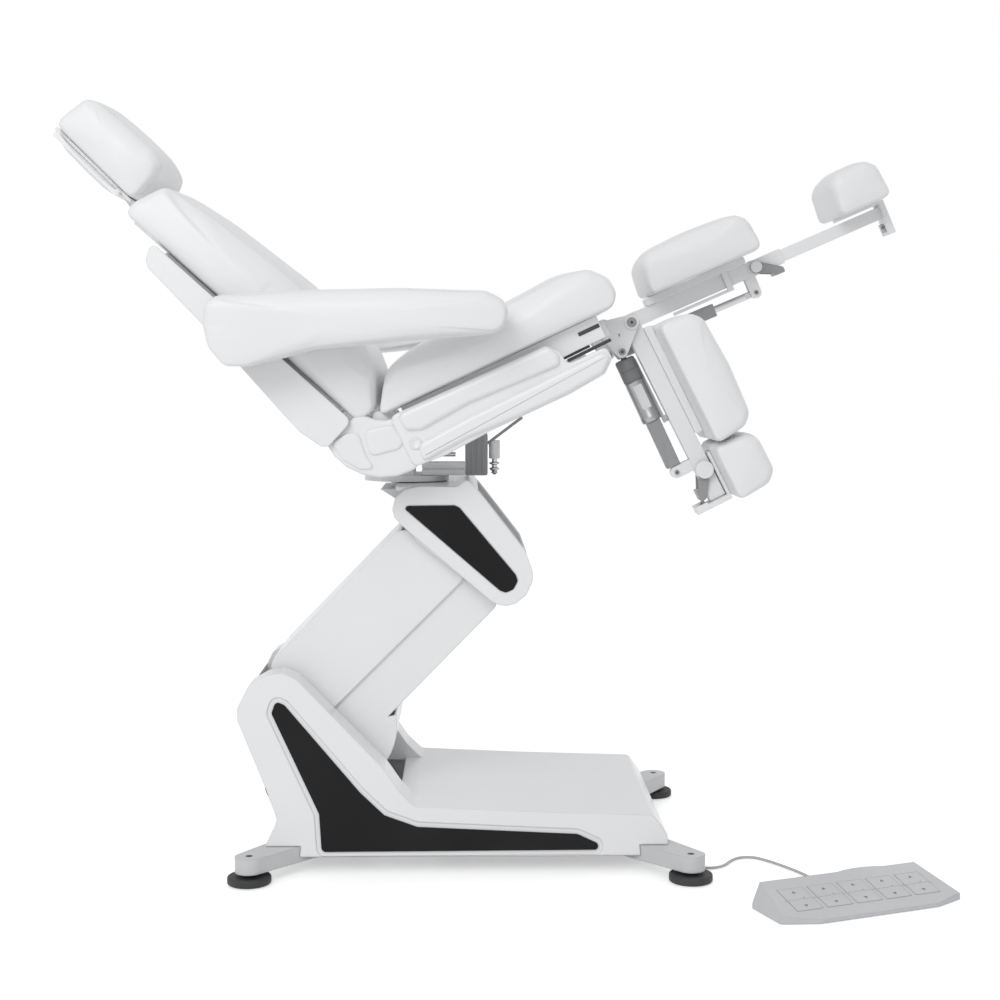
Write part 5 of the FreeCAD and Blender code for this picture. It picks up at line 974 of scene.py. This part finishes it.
@dataclass
class Detail:
    """Shared ways to finish a small visual piece."""

    palette: Palette
    repeats: RepeatTree

    def ride(self, obj: bpy.types.Object, body: str, finish: str, slot: str,
             replaces: Optional[str] = None) -> bpy.types.Object:
        """Dress a piece and hang it on its body.

        Args:
            obj: the piece.
            body: the CAD body that carries it.
            finish: the finish it takes.
            slot: not used.
            replaces: the CAD node it stands for, if any.

        Returns:
            The same piece.
        """
        self.palette.dress(obj, finish)
        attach(obj, body)
        if replaces is not None:
            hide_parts(replaces)
        return obj

    def bolts(self, name: str, body: str, spots: Sequence[Tuple[Vector, Vector, float]]) -> None:
        """Set round bolt heads at each spot, each with a flat dark hexagon on top as painted shade for its six-sided
        socket.

        Args:
            name: the pieces' name.
            body: the CAD body that carries them.
            spots: (place, facing, radius in millimetres) of each.
        """
        heads = [MeshKit.lathe(name + "_head", place, place + facing,
                               [(-1.0, radius), (0.6, radius), (1.3, radius * 0.86), (1.4, radius * 0.6)], 28)
                 for place, facing, radius in spots]
        self.ride(MeshKit.merged(name + "_heads", heads), body, "mid grey plastic", "grey_plastic")
        # painted shade: flat dark hexagons on the heads stand for the shade inside the sockets
        marks = [(place + facing * 1.6 * MM, facing, Vector((0.0, 0.0, 1.0))) for place, facing, radius in spots]
        radius = min(spot[2] for spot in spots) * 0.45 * MM
        socket_shade = self.repeats.on_points(name + "_sockets", marks, self.palette.get("dark plastic"), 6, radius, radius,
                                         0.0002)
        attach(socket_shade, body)


@dataclass
class SeatCovers:
    """The two moulded covers beside the seat, with their raised bands, knuckle block and dimple."""

    detail: Detail
    outer: float = 290.0
    base: float = 280.0
    inner: float = 264.0

    PANEL = ((18.0, -6.0), (316.0, -10.0), (333.0, -30.0), (336.0, -55.0), (410.0, -55.0), (411.0, -78.0),
             (388.0, -97.0), (318.0, -103.0), (168.0, -103.0), (80.0, -108.0), (20.0, -104.0))
    KNUCKLE = ((-4.0, -3.0), (-36.0, 8.0), (-92.0, -42.0), (-78.0, -66.0), (-56.0, -86.0), (-28.0, -99.0),
               (2.0, -104.0), (34.0, -101.0), (62.0, -90.0), (76.0, -74.0), (60.0, 12.0), (14.0, -4.0))
    UPPER = ((30.0, -8.0), (318.0, -12.0), (329.0, -32.0), (324.0, -50.0), (152.0, -43.0), (60.0, -50.0),
             (34.0, -40.0))
    LOWER = ((44.0, -70.0), (142.0, -64.0), (294.0, -62.0), (402.0, -60.0), (408.0, -76.0), (386.0, -94.0),
             (316.0, -100.0), (220.0, -100.0), (126.0, -97.0), (36.0, -102.0))
    BLOCK = ((-26.0, -22.0), (26.0, -11.0), (44.0, -42.0), (36.0, -54.0), (-14.0, -67.0))
    REAR = ((-82.0, -42.0), (-57.0, -28.0), (-35.0, -25.0), (-22.0, -64.0), (-6.0, -88.0), (-32.0, -90.0),
            (-62.0, -72.0))

    def build(self) -> None:
        """Make both covers; the joined body stands for the CAD node."""
        bodies, bands = [], []
        for side in Side:
            sign = side.value
            bodies.append(MeshKit.slab("cover", SEAT, self.PANEL, sign * self.inner, sign * self.base, 14.0, 4.0, 4))
            bodies.append(MeshKit.slab("knuckle", HINGE, self.KNUCKLE, sign * self.inner, sign * 276.5, 12.0, 6.0, 6))
            for name, view, outline, out, edge in (("upper", SEAT, self.UPPER, 0.0, 8.5),
                                                   ("lower", SEAT, self.LOWER, 1.0, 8.5),
                                                   ("block", HINGE, self.BLOCK, 8.2, 4.5),
                                                   ("rear", HINGE, self.REAR, 9.0, 3.0)):
                bands.append(MeshKit.slab(name, view, outline, sign * (self.base - 8), sign * (self.outer - out), 13.0,
                                          edge, 7))
            bands.append(MeshKit.lathe("dimple", HINGE.point(64, -44, sign * (self.base - 1)),
                                       HINGE.point(64, -44, sign * self.outer),
                                       [(0.0, 12.0), (3.6, 10.6), (4.6, 8.6), (2.9, 6.4), (1.6, 3.0)], 32))
        self.detail.ride(MeshKit.merged("seat_cover_shells", bodies), "seat", "white moulding", "white_moulding",
                         "seat_side_covers")
        self.detail.ride(MeshKit.merged("seat_cover_bands", bands), "seat", "white moulding", "white_moulding")


@dataclass
class TiltDrive:
    """The tilt actuator on the swivel platform: rail, ribbed gear housing, motor column and bracket."""

    detail: Detail
    near: float = -65.0
    far: float = -25.0
    column_x: float = 46.0

    GEAR = ((-9.0, 700.0), (33.0, 700.0), (33.0, 781.0), (-9.0, 768.0))
    WEB = box(-88.0, 703.0, -9.5, 722.0)
    GUIDE = box(0.0, 0.0, 82.0, 5.0)
    RIB_PLACES = (2.0, 12.0, 22.0)
    RAIL_HEIGHTS = ((700.5, 711.0), (713.5, 725.0))
    COLUMN = ((0.0, 9.0), (1.0, 10.4), (33.0, 10.4), (34.0, 9.2), (34.2, 5.0))
    COILS = ((0.0, 4.5), (1.5, 7.0), (4.0, 4.6), (8.0, 9.5), (10.0, 9.5), (12.0, 5.0), (16.0, 5.0), (18.0, 9.8),
             (20.5, 9.8), (22.0, 5.0), (27.9, 5.0))
    TIP = ((0.0, 3.4), (1.4, 3.4), (2.0, 1.2))

    def build(self) -> None:
        """Make the drive; the gear housing stands for the CAD node."""
        ride = self.detail.ride
        middle = (self.near + self.far) / 2
        housing = [MeshKit.slab("gear", PLAIN, self.GEAR, self.near, self.far, 5.0, 3.0, 4)]
        for place in self.RIB_PLACES:
            rib = box(place, 706.0, place + 4, 766.0)
            housing.append(MeshKit.slab("rib", PLAIN, rib, self.near - 1.2, self.near + 2, 1.5, 0.8))
        ride(MeshKit.merged("tilt_gear_housing", housing), "platform", "mid grey plastic", "grey_plastic",
             "tilt_actuator")
        rails = []
        for low, high in self.RAIL_HEIGHTS:
            rails.append(MeshKit.slab("rail", PLAIN, box(-90.0, low, -9.5, high),
                                      self.near + 1, self.far - 1, 1.5, 1.2))
        rails.append(MeshKit.slab("web", PLAIN, self.WEB, self.near + 4, self.far - 4, 1.0, 0.5))
        ride(MeshKit.merged("tilt_rails", rails), "platform", "white powder coat", "actuator_metal")
        column = LAYOUT.place(self.column_x, middle, 731.0)
        above = LAYOUT.place(self.column_x, middle, 800.0)
        ride(MeshKit.lathe("tilt_motor_column", column, above, self.COLUMN, 36), "platform", "white powder coat",
             "white_steel")
        coils = MeshKit.lathe("tilt_spring_clips", LAYOUT.place(self.column_x, middle, 703.0), above, self.COILS, 32)
        ride(coils, "platform", "ground steel", "bright_rod")
        tip, below = (LAYOUT.place(self.column_x, middle, height) for height in (702.9, 600.0))
        ride(MeshKit.lathe("tilt_screw_tip", tip, below, self.TIP, 24), "platform", "dark plastic", "dark_plastic")
        bracket = SideView(34.0, 757.0, 37.0)
        ride(MeshKit.slab("tilt_cable_guide", bracket, self.GUIDE, middle - 9, middle + 9, 2.0, 1.2), "platform",
             "mid grey plastic", "grey_plastic")


@dataclass
class LegDrives:
    """Each leg's actuator: ringed motor, blank label, square lower tube and eye, with the bolts around it."""

    detail: Detail
    half_gap: float = 140.0
    motor_start: float = 14.0
    cap_length: float = 44.2
    neck_half: float = 5.0
    tube_half: float = 13.0
    tube_start: float = 137.0
    tube_end: float = 228.5
    knee_face: float = 32.2
    lug_face: float = 14.2

    PIN = (440.4, -77.5)
    LUG = (280.0, -46.0)
    EYE = ((0.0, 10.4), (0.6, 11.0), (9.4, 11.0), (10.0, 10.4))
    LABEL = ((66.0, -8.5), (112.0, -8.5), (112.0, 8.5), (66.0, 8.5))
    LABEL_FACES = (14.0, 18.3)
    BOLTS = (9.0, 6.5, 4.4)
    MOTOR = ((0.0, 15.0), (1.5, 17.4), (3.0, 18.3), (21.0, 18.3), (21.6, 17.6), (22.4, 17.6), (23.0, 18.4),
             (42.0, 18.4), (42.8, 17.4), (44.2, 17.4), (45.0, 18.0), (112.0, 18.0), (113.0, 18.5), (121.0, 18.5),
             (123.0, 17.4), (124.0, 15.0))

    def build(self) -> None:
        """Make the drives and bolts of both legs."""
        ride = self.detail.ride
        pin = SEAT.flat(*self.PIN)
        for side, view in ((Side.RIGHT, LEG_RIGHT), (Side.LEFT, LEG_LEFT)):
            name, centre = side.name.lower(), side.value * self.half_gap
            body = "leg_actuator_" + name
            end = view.flat(*self.LUG)
            line = SideView(pin[0], pin[1], math.degrees(math.atan2(end[1] - pin[1], end[0] - pin[0])))
            start, far = line.point(self.motor_start, 0, centre), line.point(200.0, 0, centre)
            upper = [pair for pair in self.MOTOR if pair[0] <= self.cap_length]
            lower = [pair for pair in self.MOTOR if pair[0] >= self.cap_length]
            ride(MeshKit.lathe("leg_motor_" + name, start, far, lower, 48), body, "anodised aluminium",
                 "actuator_metal", "leg_actuator_body_" + name)
            ride(MeshKit.lathe("leg_motor_cap_" + name, start, far, upper, 48), body, "dark actuator", "dark_plastic")
            near, beyond = centre - self.neck_half, centre + self.neck_half
            neck = [MeshKit.slab("neck", line, box(0.0, -self.neck_half, 15.0, self.neck_half), near, beyond, 1.0, 0.6),
                    MeshKit.lathe("eye", line.point(0, 0, near), line.point(0, 0, beyond), self.EYE, 36)]
            ride(MeshKit.merged("leg_drive_eye_" + name, neck), body, "dark actuator", "dark_plastic")
            tube = MeshKit.slab("leg_drive_tube_" + name, line,
                                box(self.tube_start, -self.tube_half, self.tube_end, self.tube_half),
                                centre - self.tube_half, centre + self.tube_half, 2.0, 2.5)
            ride(tube, body, "mid grey plastic", "grey_plastic")
            for sign in (-1, 1):
                faces = [centre + sign * face for face in self.LABEL_FACES]
                label = MeshKit.slab("leg_drive_label_" + name + ("_outer" if sign < 0 else "_inner"), line,
                                     self.LABEL, faces[0], faces[1], 1.5, 0.3)
                ride(label, body, "blank label", "pale_grey_plastic")
            knee_spots, lug_spots = [], []
            knee, pivot, lug = self.BOLTS
            for sign in (-1, 1):
                facing = Vector((0.0, float(sign), 0.0))
                face = centre + sign * self.knee_face
                knee_spots.append((LAYOUT.place(KNEE[0], face, KNEE[1]), facing, knee))
                knee_spots.append((line.point(0, 0, face), facing, pivot))
                lug_spots.append((view.point(*self.LUG, centre + sign * self.lug_face), facing, lug))
            self.detail.bolts("knee_bolts_" + name, "seat", knee_spots)
            self.detail.bolts("lug_bolts_" + name, "leg_" + name, lug_spots)


@dataclass
class ArmBrackets:
    """The brackets between the back frame and the arm pads, tucked up behind the pads."""

    detail: Detail
    near: float = 291.5
    far: float = 302.5
    length: float = 508.0
    height: float = 130.0
    hub: float = 20.0

    PIVOT = (257.0, -64.0)
    STRIP = ((0.08, 0.2), (0.16, 0.12), (0.7, 0.46), (0.9, 0.54), (0.9, 0.68), (0.6, 0.62), (0.08, 0.42))

    def build(self) -> None:
        """Make both brackets; each stands for its CAD node."""
        pivot = BACK.flat(*self.PIVOT)
        view = SideView(pivot[0] - self.length / 10, pivot[1] - self.height * 0.3, 0.0)
        outline = [(u * self.length, v * self.height) for u, v in self.STRIP]
        for side in Side:
            name = "armrest_" + side.name.lower()
            strip = MeshKit.slab("strip", view, outline, side.value * self.near, side.value * self.far, 8.0, 2.0)
            hub = MeshKit.lathe("hub", BACK.point(*self.PIVOT, side.value * (self.near - 0.5)),
                                BACK.point(*self.PIVOT, side.value * (self.far + 0.5)),
                                [(0.0, self.hub), (12.0, self.hub)], 40)
            self.detail.ride(MeshKit.merged("bracket_" + name, [strip, hub]), name, "white powder coat", "white_steel",
                             "armrest_bracket_" + side.name.lower())


@dataclass
class SmallPieces:
    """The rest: headrest back, dark strips painted as the shade in the seat rail slots, foot control marks and the
    cable's strain relief.
    """

    detail: Detail
    control_x: float = 652.0
    control_y: float = -436.0
    control_turn: float = 21.0
    rear_height: float = 38.0
    front_height: float = 7.0
    width: float = 125.0

    BACK_PAD = ((232.0, -10.8), (224.0, -18.0), (188.0, -25.5), (140.0, -29.0), (100.0, -30.0), (78.0, -27.0),
                (68.0, -19.0), (72.0, -17.8))

    def mark_spot(self, along: float, wide: float) -> Tuple[Vector, Vector, Vector]:
        """Return the place, facing and up-slope direction of a mark on the foot control."""
        turn = math.radians(self.control_turn)
        slope = math.atan2(self.rear_height - self.front_height, self.width)
        run = wide * math.cos(slope)
        height = (self.rear_height + self.front_height) / 2 + wide * math.sin(slope) + 0.45
        place = LAYOUT.place(self.control_x + along * math.cos(turn) - run * math.sin(turn),
                             self.control_y + along * math.sin(turn) + run * math.cos(turn), height)
        facing = Vector((math.sin(slope) * math.sin(turn), -math.sin(slope) * math.cos(turn), math.cos(slope)))
        rise = Vector((-math.cos(slope) * math.sin(turn), math.cos(slope) * math.cos(turn), math.sin(slope)))
        return place, facing, rise

    def marks(self) -> None:
        """Set the up and down marks and the small dots on each key."""
        for column in range(5):
            along = (column - 2) * 58.0
            body = "foot_key_" + str(column + 1)
            up_place, facing, rise = self.mark_spot(along, 20.0)
            down_place = self.mark_spot(along, -20.0)[0]
            dot_place = self.mark_spot(along + 9.0, 2.0)[0]
            finish = self.detail.palette.get("key mark")
            arrows = self.detail.repeats.on_points("key_arrows_" + str(column + 1),
                                                   [(up_place, facing, rise), (down_place, facing, -rise)], finish, 3,
                                                   0.0042, 0.0042, 0.0002)
            dot = self.detail.repeats.on_points("key_dot_" + str(column + 1), [(dot_place, facing, rise)], finish, 16,
                                                0.0016, 0.0016, 0.0002)
            for piece in (arrows, dot):
                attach(piece, body)

    def build(self) -> None:
        """Make every small piece."""
        ride = self.detail.ride
        ride(MeshKit.slab("headrest_back_pad", HEADREST, self.BACK_PAD, -124.0, 124.0, 10.0, 9.0, 6), "headrest",
             "white leatherette", "upholstery")
        # painted shade: thin dark strips set inboard of the covers stand for the shade seen through the slots
        slots = []
        for side in Side:
            near, far = side.value * 251.0, side.value * 253.2
            slots.append(MeshKit.slab("slot", SEAT, box(376.0, -20.0, 416.0, -13.0),
                                      near, far, 1.0, 0.4))
            slots.append(MeshKit.slab("slot", SEAT, [(340.0, -52.5), (424.0, -51.0), (424.0, -45.0), (340.0, -46.5)],
                                      near, far, 1.0, 0.4))
        ride(MeshKit.merged("seat_slot_shade_strips", slots), "seat", "dark plastic", "dark_plastic")
        self.marks()
        start = Vector(LAYOUT.place(*ControlCable.ROUTE[0]))
        way = Vector(LAYOUT.place(*ControlCable.ROUTE[1])) - start
        ride(MeshKit.lathe("control_strain_relief", start, start + way,
                           [(-0.4, 5.4), (2.0, 5.4), (3.0, 4.4), (4.5, 5.0), (6.0, 4.1), (7.5, 4.6), (9.0, 3.8),
                            (10.5, 4.2), (14.0, 3.1)], 28), "base", "pale grey plastic", "pale_grey_plastic")


@dataclass
class ControlCable:
    """The foot control's cable, a smooth curve over the floor."""

    diameter: float = 5.0
    length: float = 0.492

    ROUTE = (
        (624.0, -363.1, 12.0), (614.0, -337.0, 9.0), (601.0, -301.0, 2.9), (586.0, -263.0, 2.6),
        (564.0, -224.0, 2.6), (541.0, -190.0, 2.6), (520.0, -168.0, 2.6), (492.0, -170.0, 2.6), (474.0, -192.0, 2.6),
        (458.0, -222.0, 2.6), (434.0, -237.0, 2.6), (406.0, -228.0, 2.6), (380.0, -196.0, 2.6), (358.0, -168.0, 2.6),
        (336.0, -153.0, 2.6), (314.8, -150.0, 2.6),
    )

    def build(self, palette: Palette) -> bpy.types.Object:
        """Args:
            palette: the chair's finishes.

        Returns:
            The cable's curve.
        """
        curve = bpy.data.curves.new("foot_control_lead", "CURVE")
        curve.dimensions = "3D"
        curve.bevel_depth = self.diameter / 2 * MM
        curve.bevel_resolution = 5
        curve.resolution_u = 10
        curve.use_fill_caps = True
        spline = curve.splines.new("NURBS")
        spline.points.add(len(self.ROUTE) - 1)
        for spot, place in zip(spline.points, self.ROUTE):
            spot.co = (*LAYOUT.place(*place), 1.0)
        spline.order_u = 3
        spline.use_endpoint_u = True
        curve.materials.append(palette.get("cable jacket"))
        obj = bpy.data.objects.new("foot_control_lead", curve)
        bpy.context.scene.collection.objects.link(obj)
        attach(obj, "base")
        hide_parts("foot_control_cable")
        return obj


@dataclass
class CarriedNodes:
    """The finishes of the CAD nodes that stay as they are."""

    NODES = {
        "white moulding": ("base_cover", "main_arm_cover", "front_arm_cover", "head_cover", "back_shell"),
        "black inlay": ("base_side_panels", "head_side_panels"),
        "white powder coat": ("base_frame", "main_arm", "front_arm", "head_frame", "swivel_platform", "seat_frame",
            "back_frame", "headrest_post", "headrest_board", "leg_tube_left", "leg_tube_right", "calf_board_left",
            "calf_board_right", "foot_slide_left", "foot_slide_right"),
        "pale grey coat": ("outrigger_lugs",),
        "black rubber": ("levelling_feet",),
        "dark actuator": ("lift_actuator_body", "recline_actuator_body"),
        "ground steel": ("lift_actuator_rod", "recline_actuator_rod", "leg_actuator_rod_left",
            "leg_actuator_rod_right", "tilt_crosshead"),
        "mid grey plastic": ("back_lever", "release_lever_left", "release_lever_right"),
        "pale grey plastic": ("foot_control_housing", "foot_key_1", "foot_key_2", "foot_key_3", "foot_key_4",
            "foot_key_5"),
        "dark plastic": ("control_box", "cable_entries", "foot_trigger_left", "foot_trigger_right"),
    }

    def dress(self, palette: Palette) -> None:
        """Give every carried node its finish.

        Args:
            palette: the chair's finishes.
        """
        for finish, names in self.NODES.items():
            for name in names:
                palette.dress(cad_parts[name], finish)
        log.info("carried nodes dressed in %d finishes", len(self.NODES))


@dataclass
class Studio:
    """The pale floor, the soft lights and the camera at the photograph's angle."""

    focal: float = 1645.0
    picture: float = 1000.0
    sensor: float = 36.0

    def floor(self) -> None:
        """Lay the pale floor, white to the camera and keeping the chair's shadow."""
        mesh = bpy.data.meshes.new("floor")
        reach = 30.0
        mesh.from_pydata([(-reach, -reach, -0.0006), (reach, -reach, -0.0006), (reach, reach, -0.0006),
                          (-reach, reach, -0.0006)], [], [(0, 1, 2, 3)])
        obj = bpy.data.objects.new("floor", mesh)
        bpy.context.scene.collection.objects.link(obj)
        material = bpy.data.materials.new("pale floor")
        material.use_nodes = True
        kit = Nodes(material.node_tree)
        shader = next(n for n in kit.tree.nodes if n.type == "BSDF_PRINCIPLED")
        end = next(n for n in kit.tree.nodes if n.type == "OUTPUT_MATERIAL")
        kit.feed(shader, {"Base Color": (0.93, 0.93, 0.93, 1.0), "Roughness": 0.38})
        glow = kit.add("ShaderNodeEmission")
        kit.feed(glow, {"Color": (1.0, 1.0, 1.0, 1.0), "Strength": 0.42})
        plus = kit.add("ShaderNodeAddShader")
        kit.feed(plus, {0: shader.outputs[0], 1: glow.outputs[0]})
        path = kit.add("ShaderNodeLightPath")
        seen = kit.maths("MAXIMUM", path.outputs["Is Camera Ray"], path.outputs["Is Glossy Ray"])
        mix = kit.add("ShaderNodeMixShader")
        kit.feed(mix, {0: seen, 1: shader.outputs[0], 2: plus.outputs[0]})
        kit.join(mix.outputs[0], end.inputs["Surface"])
        mesh.materials.append(material)

    def world(self) -> None:
        """Set a soft white surround."""
        world = bpy.data.worlds.new("studio")
        bpy.context.scene.world = world
        world.use_nodes = True
        kit = Nodes(world.node_tree)
        for node in list(kit.tree.nodes):
            kit.tree.nodes.remove(node)
        end = kit.add("ShaderNodeOutputWorld")
        plain = kit.add("ShaderNodeBackground")
        kit.feed(plain, {"Color": (0.97, 0.985, 1.0, 1.0), "Strength": 0.62})
        shown = kit.add("ShaderNodeBackground")
        kit.feed(shown, {"Color": (1.0, 1.0, 1.0, 1.0), "Strength": 1.0})
        path = kit.add("ShaderNodeLightPath")
        glossy = kit.maths("MULTIPLY", path.outputs["Is Glossy Ray"], 0.6)
        mix = kit.add("ShaderNodeMixShader")
        kit.feed(mix, {0: kit.maths("MAXIMUM", path.outputs["Is Camera Ray"], glossy), 1: plain.outputs[0],
                       2: shown.outputs[0]})
        kit.join(mix.outputs[0], end.inputs["Surface"])

    def lamp(self, name: str, place: Vector, aim: Vector, size: float, power: float) -> None:
        """Hang one soft square lamp.

        Args:
            name: the lamp's name.
            place: where it hangs.
            aim: what it points at.
            size: its side, in metres.
            power: its power, in watts.
        """
        data = bpy.data.lights.new(name, "AREA")
        data.size = size
        data.energy = power
        obj = bpy.data.objects.new(name, data)
        obj.location = place
        obj.rotation_euler = (aim - place).to_track_quat("-Z", "Y").to_euler()
        bpy.context.scene.collection.objects.link(obj)

    def camera(self) -> None:
        """Set the camera at the photograph's viewing angle."""
        turn = math.atan(30.0 / self.focal)
        dip = math.atan(119.0 / self.focal)
        data = bpy.data.cameras.new("photo camera")
        data.sensor_width = self.sensor
        data.lens = self.sensor * self.focal / self.picture
        obj = bpy.data.objects.new("photo camera", data)
        obj.location = (-0.0476, -3.0537, 0.876)
        way = Vector((math.sin(turn) * math.cos(dip), math.cos(turn) * math.cos(dip), -math.sin(dip)))
        obj.rotation_euler = way.to_track_quat("-Z", "Y").to_euler()
        bpy.context.scene.collection.objects.link(obj)
        bpy.context.scene.camera = obj

    def build(self) -> None:
        """Set up the floor, the lights, the camera and the plain view."""
        self.floor()
        self.world()
        aim = Vector((0.0, 0.0, 0.7))
        self.lamp("overhead", Vector((-0.6, -0.6, 3.6)), aim, 3.0, 5.0)
        self.lamp("camera side", Vector((-1.3, -3.4, 2.8)), aim, 1.9, 50.0)
        self.lamp("rear right", Vector((2.6, 2.4, 2.6)), aim, 2.2, 10.0)
        self.camera()
        bpy.context.scene.view_settings.view_transform = "Standard"


def main() -> None:
    """Build the chair's looks in order."""
    logging.basicConfig(level=logging.INFO, format="%(message)s")
    palette = Palette()
    repeats = RepeatTree()
    studio = Studio()
    studio.build()
    ControlCable().build(palette)
    detail = Detail(palette, repeats)
    SeatCovers(detail).build()
    TiltDrive(detail).build()
    LegDrives(detail).build()
    ArmBrackets(detail).build()
    SmallPieces(detail).build()
    CarriedNodes().dress(palette)
    Cushions().build(palette, repeats)


if __name__ == "__main__":
    main()
